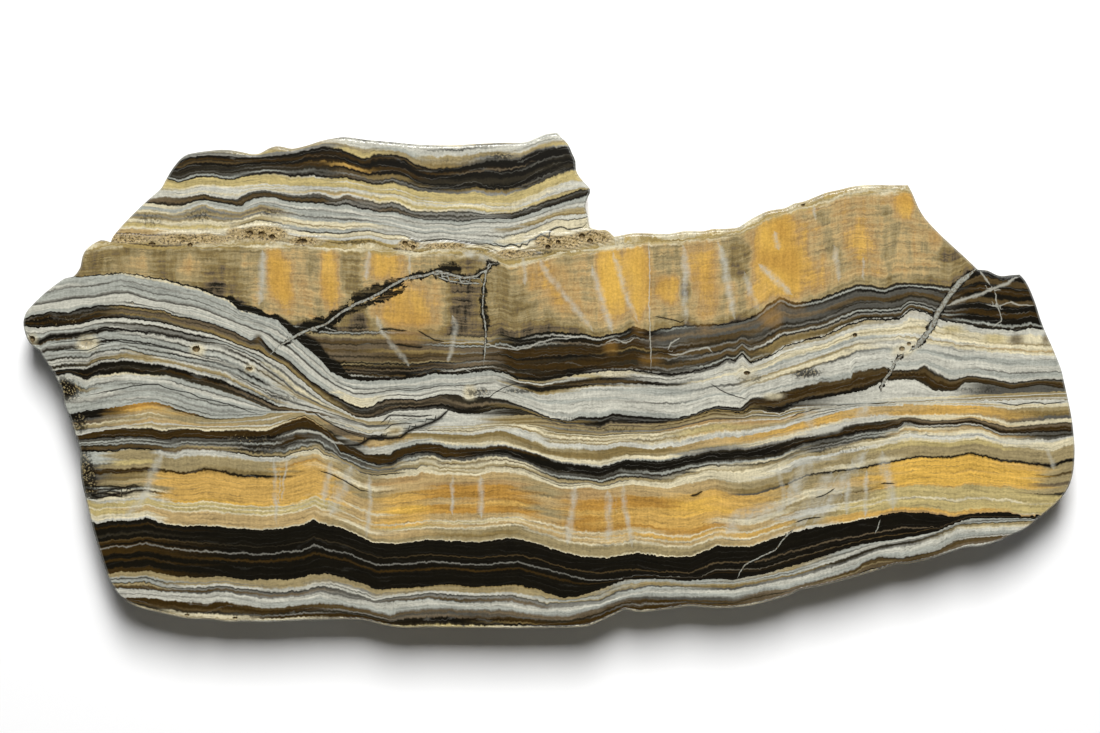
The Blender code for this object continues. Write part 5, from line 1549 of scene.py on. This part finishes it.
VEIN_SHADOW = [
    (1.0, [(35.0, 30.1), (36.2, 29.5), (37.5, 29.0), (39.0, 28.6), (40.2, 28.1)]),
    (0.8, [(29.5, 33.0), (31.0, 32.4), (32.5, 32.0), (33.8, 31.2), (35.0, 30.4)]),
    (0.5, [(31.0, 33.4), (33.0, 32.6), (34.5, 31.4), (36.0, 30.7), (38.0, 30.0), (39.5, 29.3),
           (40.8, 28.6)]),
    (1.1, [(43.0, 27.5), (44.4, 26.9), (45.4, 26.9), (46.1, 27.6)]),
    (0.5, [(40.5, 27.9), (42.0, 27.4), (43.5, 27.2)]),
    (0.5, [(47.3, 27.6), (48.6, 27.0), (49.0, 26.3), (50.0, 26.5)]),
    (0.6, [(48.4, 28.3), (48.3, 30.0), (48.4, 31.5), (48.7, 33.5)]),
]
shadow, shadow_width = crack_reading("vein_shadow", VEIN_SHADOW, 1.1, 1.4)
shadow = scaled(speckle, 0.5, reckon("SUBTRACT", shadow, 0.25))
shadow_width = times(shadow_width, scaled(wisps, 2.6, -0.2))
shadow = fade(shadow, times(shadow_width, 1.4), times(shadow_width, 0.7))
shadow = times(shadow, scaled(growth_line, -1.6, 1.75), clamp=True)
colour = tint(shadow, colour, "black")
vein, vein_width = crack_reading("grey_vein", GREY_VEIN, 0.34, 1.2)
vein_margin = scaled(grain(PLACE, 0.7, 4.0, 0.75), 1.7, -0.72)
margin_reach = reckon("ADD", vein_width, times(vein_margin, fade(vein_width, 0.02, 0.12)))
colour = tint(fade(vein, margin_reach, times(margin_reach, 0.7)), colour, "black")
vein_colour = tint(fade(grain(PLACE, 0.25, 3.0, 0.7), 0.34, 0.6), as_light(COLOUR["earth"]), "dove")
colour = lay_over(fade(vein, times(vein_width, 1.1), times(vein_width, 0.5)), colour, vein_colour)

# The finish
# The face is polished, the ends and the back are sawn, the long edges keep the seam's own
# rough skin, and the holes are raw inside.
EASED_RINGS = 4
POLISH_REACHES = 0.0001
RAW_FROM = 0.0008
WALL_NATURAL = np.zeros(len(POINTS))
WALL_NATURAL[RIM_COUNT * EASED_RINGS:FACE_START] = np.tile(RIM_NATURAL, len(RINGS) - EASED_RINGS)
POLISHED = np.clip(1.0 - 3.0 * SPONGY - SUNK / POLISH_REACHES, 0.0, 1.0)
polish = mark("polish", np.where(ON_FACE, POLISHED, 0.0))
skin = mark("skin", WALL_NATURAL)
hollow = mark("hollow", np.clip(SUNK / RAW_FROM, 0.0, 1.0))
RAW_DARK, RAW_PALE = (70, 54, 26), (158, 134, 84)
raw_colour = lay_over(fade(speckle, 0.35, 0.65), as_light(RAW_DARK), as_light(RAW_PALE))
colour = lay_over(hollow, colour, raw_colour)
lumps = grain(PLACE, 0.8, 5.0, 0.65)
stained = scaled(swing(grain(PLACE, 9.0, 3.0)), 0.7, lumps)
skin_colour = ramp_of(
    stained, [(0.25, "brown"), (0.4, "crust"), (0.5, "khaki"), (0.6, "cream"), (0.75, "bone")])
colour = lay_over(times(skin, 0.62), colour, skin_colour)
unpolished = reckon("SUBTRACT", 1.0, polish)
dusty = reckon("SUBTRACT", unpolished, reckon("MAXIMUM", hollow, spongy), clamp=True)
colour = tint(times(dusty, 0.22), colour, "dove")
plug(surface.inputs["Base Color"], colour)
RAW_ROUGHNESS = 0.66
POLISHED_ROUGHNESS = 0.16
plug(surface.inputs["Roughness"], scaled(polish, POLISHED_ROUGHNESS - RAW_ROUGHNESS, RAW_ROUGHNESS))

saw_marks = nodes.new("ShaderNodeTexWave")
saw_marks.wave_type = "RINGS"
saw_marks.rings_direction = "Z"
plug(saw_marks.inputs["Vector"], drawn_out(PLACE, 1.0, 1.0, 0.0))
plug(saw_marks.inputs["Scale"], 0.9)
plug(saw_marks.inputs["Distortion"], 1.5)
sawn = times(reckon("SUBTRACT", unpolished, skin, clamp=True), 0.25)
height = scaled(saw_marks.outputs["Fac"], sawn, times(lumps, skin))
height = scaled(speckle, times(unpolished, 0.3), height)
BUMP_HEIGHT = 0.0006
bump = nodes.new("ShaderNodeBump")
plug(bump.inputs["Strength"], 0.6)
plug(bump.inputs["Distance"], BUMP_HEIGHT)
plug(bump.inputs["Height"], height)
links.new(bump.outputs["Normal"], surface.inputs["Normal"])

# The floor and the light
# A pale sweep of paper under the slab, one broad lamp above its far edge, and a weak
# one from the near side.
FLOOR_REACH = 3.0
LEVEL_REACH = 1.6
FLOOR_GAP = 0.0002


def build_floor():
    """Wide round floor whose edge turns up gently."""
    rings, spokes = 24, 64
    points, faces = [(0.0, 0.0, 0.0)], []
    for ring in range(1, rings + 1):
        reach = FLOOR_REACH * ring / rings
        rise = max(0.0, reach - LEVEL_REACH) ** 2 * 0.25
        for spoke in range(spokes):
            turn = 2.0 * math.pi * spoke / spokes
            points.append((reach * math.cos(turn), reach * math.sin(turn), rise))
    for spoke in range(spokes):
        after = (spoke + 1) % spokes
        faces.append((0, 1 + spoke, 1 + after))
        for ring in range(rings - 1):
            inner, outer = 1 + ring * spokes, 1 + (ring + 1) * spokes
            faces.append((inner + spoke, outer + spoke, outer + after, inner + after))
    mesh = bpy.data.meshes.new("floor")
    mesh.from_pydata(points, [], faces)
    mesh.shade_smooth()
    floor = bpy.data.objects.new("floor", mesh)
    floor.location.z = LOWEST.z - FLOOR_GAP
    bpy.context.collection.objects.link(floor)
    paper = bpy.data.materials.new("pale_paper")
    paper.use_nodes = True
    paper_surface = paper.node_tree.nodes["Principled BSDF"]
    paper_surface.inputs["Base Color"].default_value = (0.97, 0.97, 0.97, 1.0)
    paper_surface.inputs["Roughness"].default_value = 0.9
    mesh.materials.append(paper)
    return floor


floor = build_floor()


def hang_lamp(name, direction, distance, width, height, power):
    """Soft box that looks at the slab from a direction."""
    lamp = bpy.data.lights.new(name, "AREA")
    lamp.shape = "RECTANGLE"
    lamp.size, lamp.size_y = width, height
    lamp.energy = power
    holder = bpy.data.objects.new(name, lamp)
    holder.location = Vector(direction).normalized() * distance
    holder.rotation_euler = Vector(direction).to_track_quat("Z", "Y").to_euler()
    holder.visible_camera = False
    bpy.context.collection.objects.link(holder)


hang_lamp("key_lamp", (0.04, 0.66, 1.0), 1.6, 0.5, 0.9, 35.6)
hang_lamp("fill_lamp", (-0.2, -1.0, 0.9), 2.2, 2.0, 1.0, 1.5)
ROOM_LIGHT = 0.03
room = bpy.data.worlds.new("room")
bpy.context.scene.world = room
room.use_nodes = True
room.node_tree.nodes["Background"].inputs[0].default_value = (1.0, 1.0, 1.0, 1.0)
room.node_tree.nodes["Background"].inputs[1].default_value = ROOM_LIGHT
bpy.context.scene.view_settings.view_transform = "Standard"

# The camera
# It looks straight down on the polished face, with the slab a little low in the frame.
LENS = 100.0
SENSOR = 36.0
FRAME_WIDTH = 110.0 * SQUARE
FRAME_CENTRE = (55.0, 36.65)
camera = bpy.data.cameras.new("camera")
camera.lens = LENS
camera.sensor_width = SENSOR
camera.clip_start = 0.01
holder = bpy.data.objects.new("camera", camera)
camera_x, camera_y = place_on_slab(*FRAME_CENTRE)
holder.location = (camera_x, camera_y, HIGHEST.z + FRAME_WIDTH * LENS / SENSOR)
bpy.context.collection.objects.link(holder)
bpy.context.scene.camera = holder

bpy.context.view_layer.update()
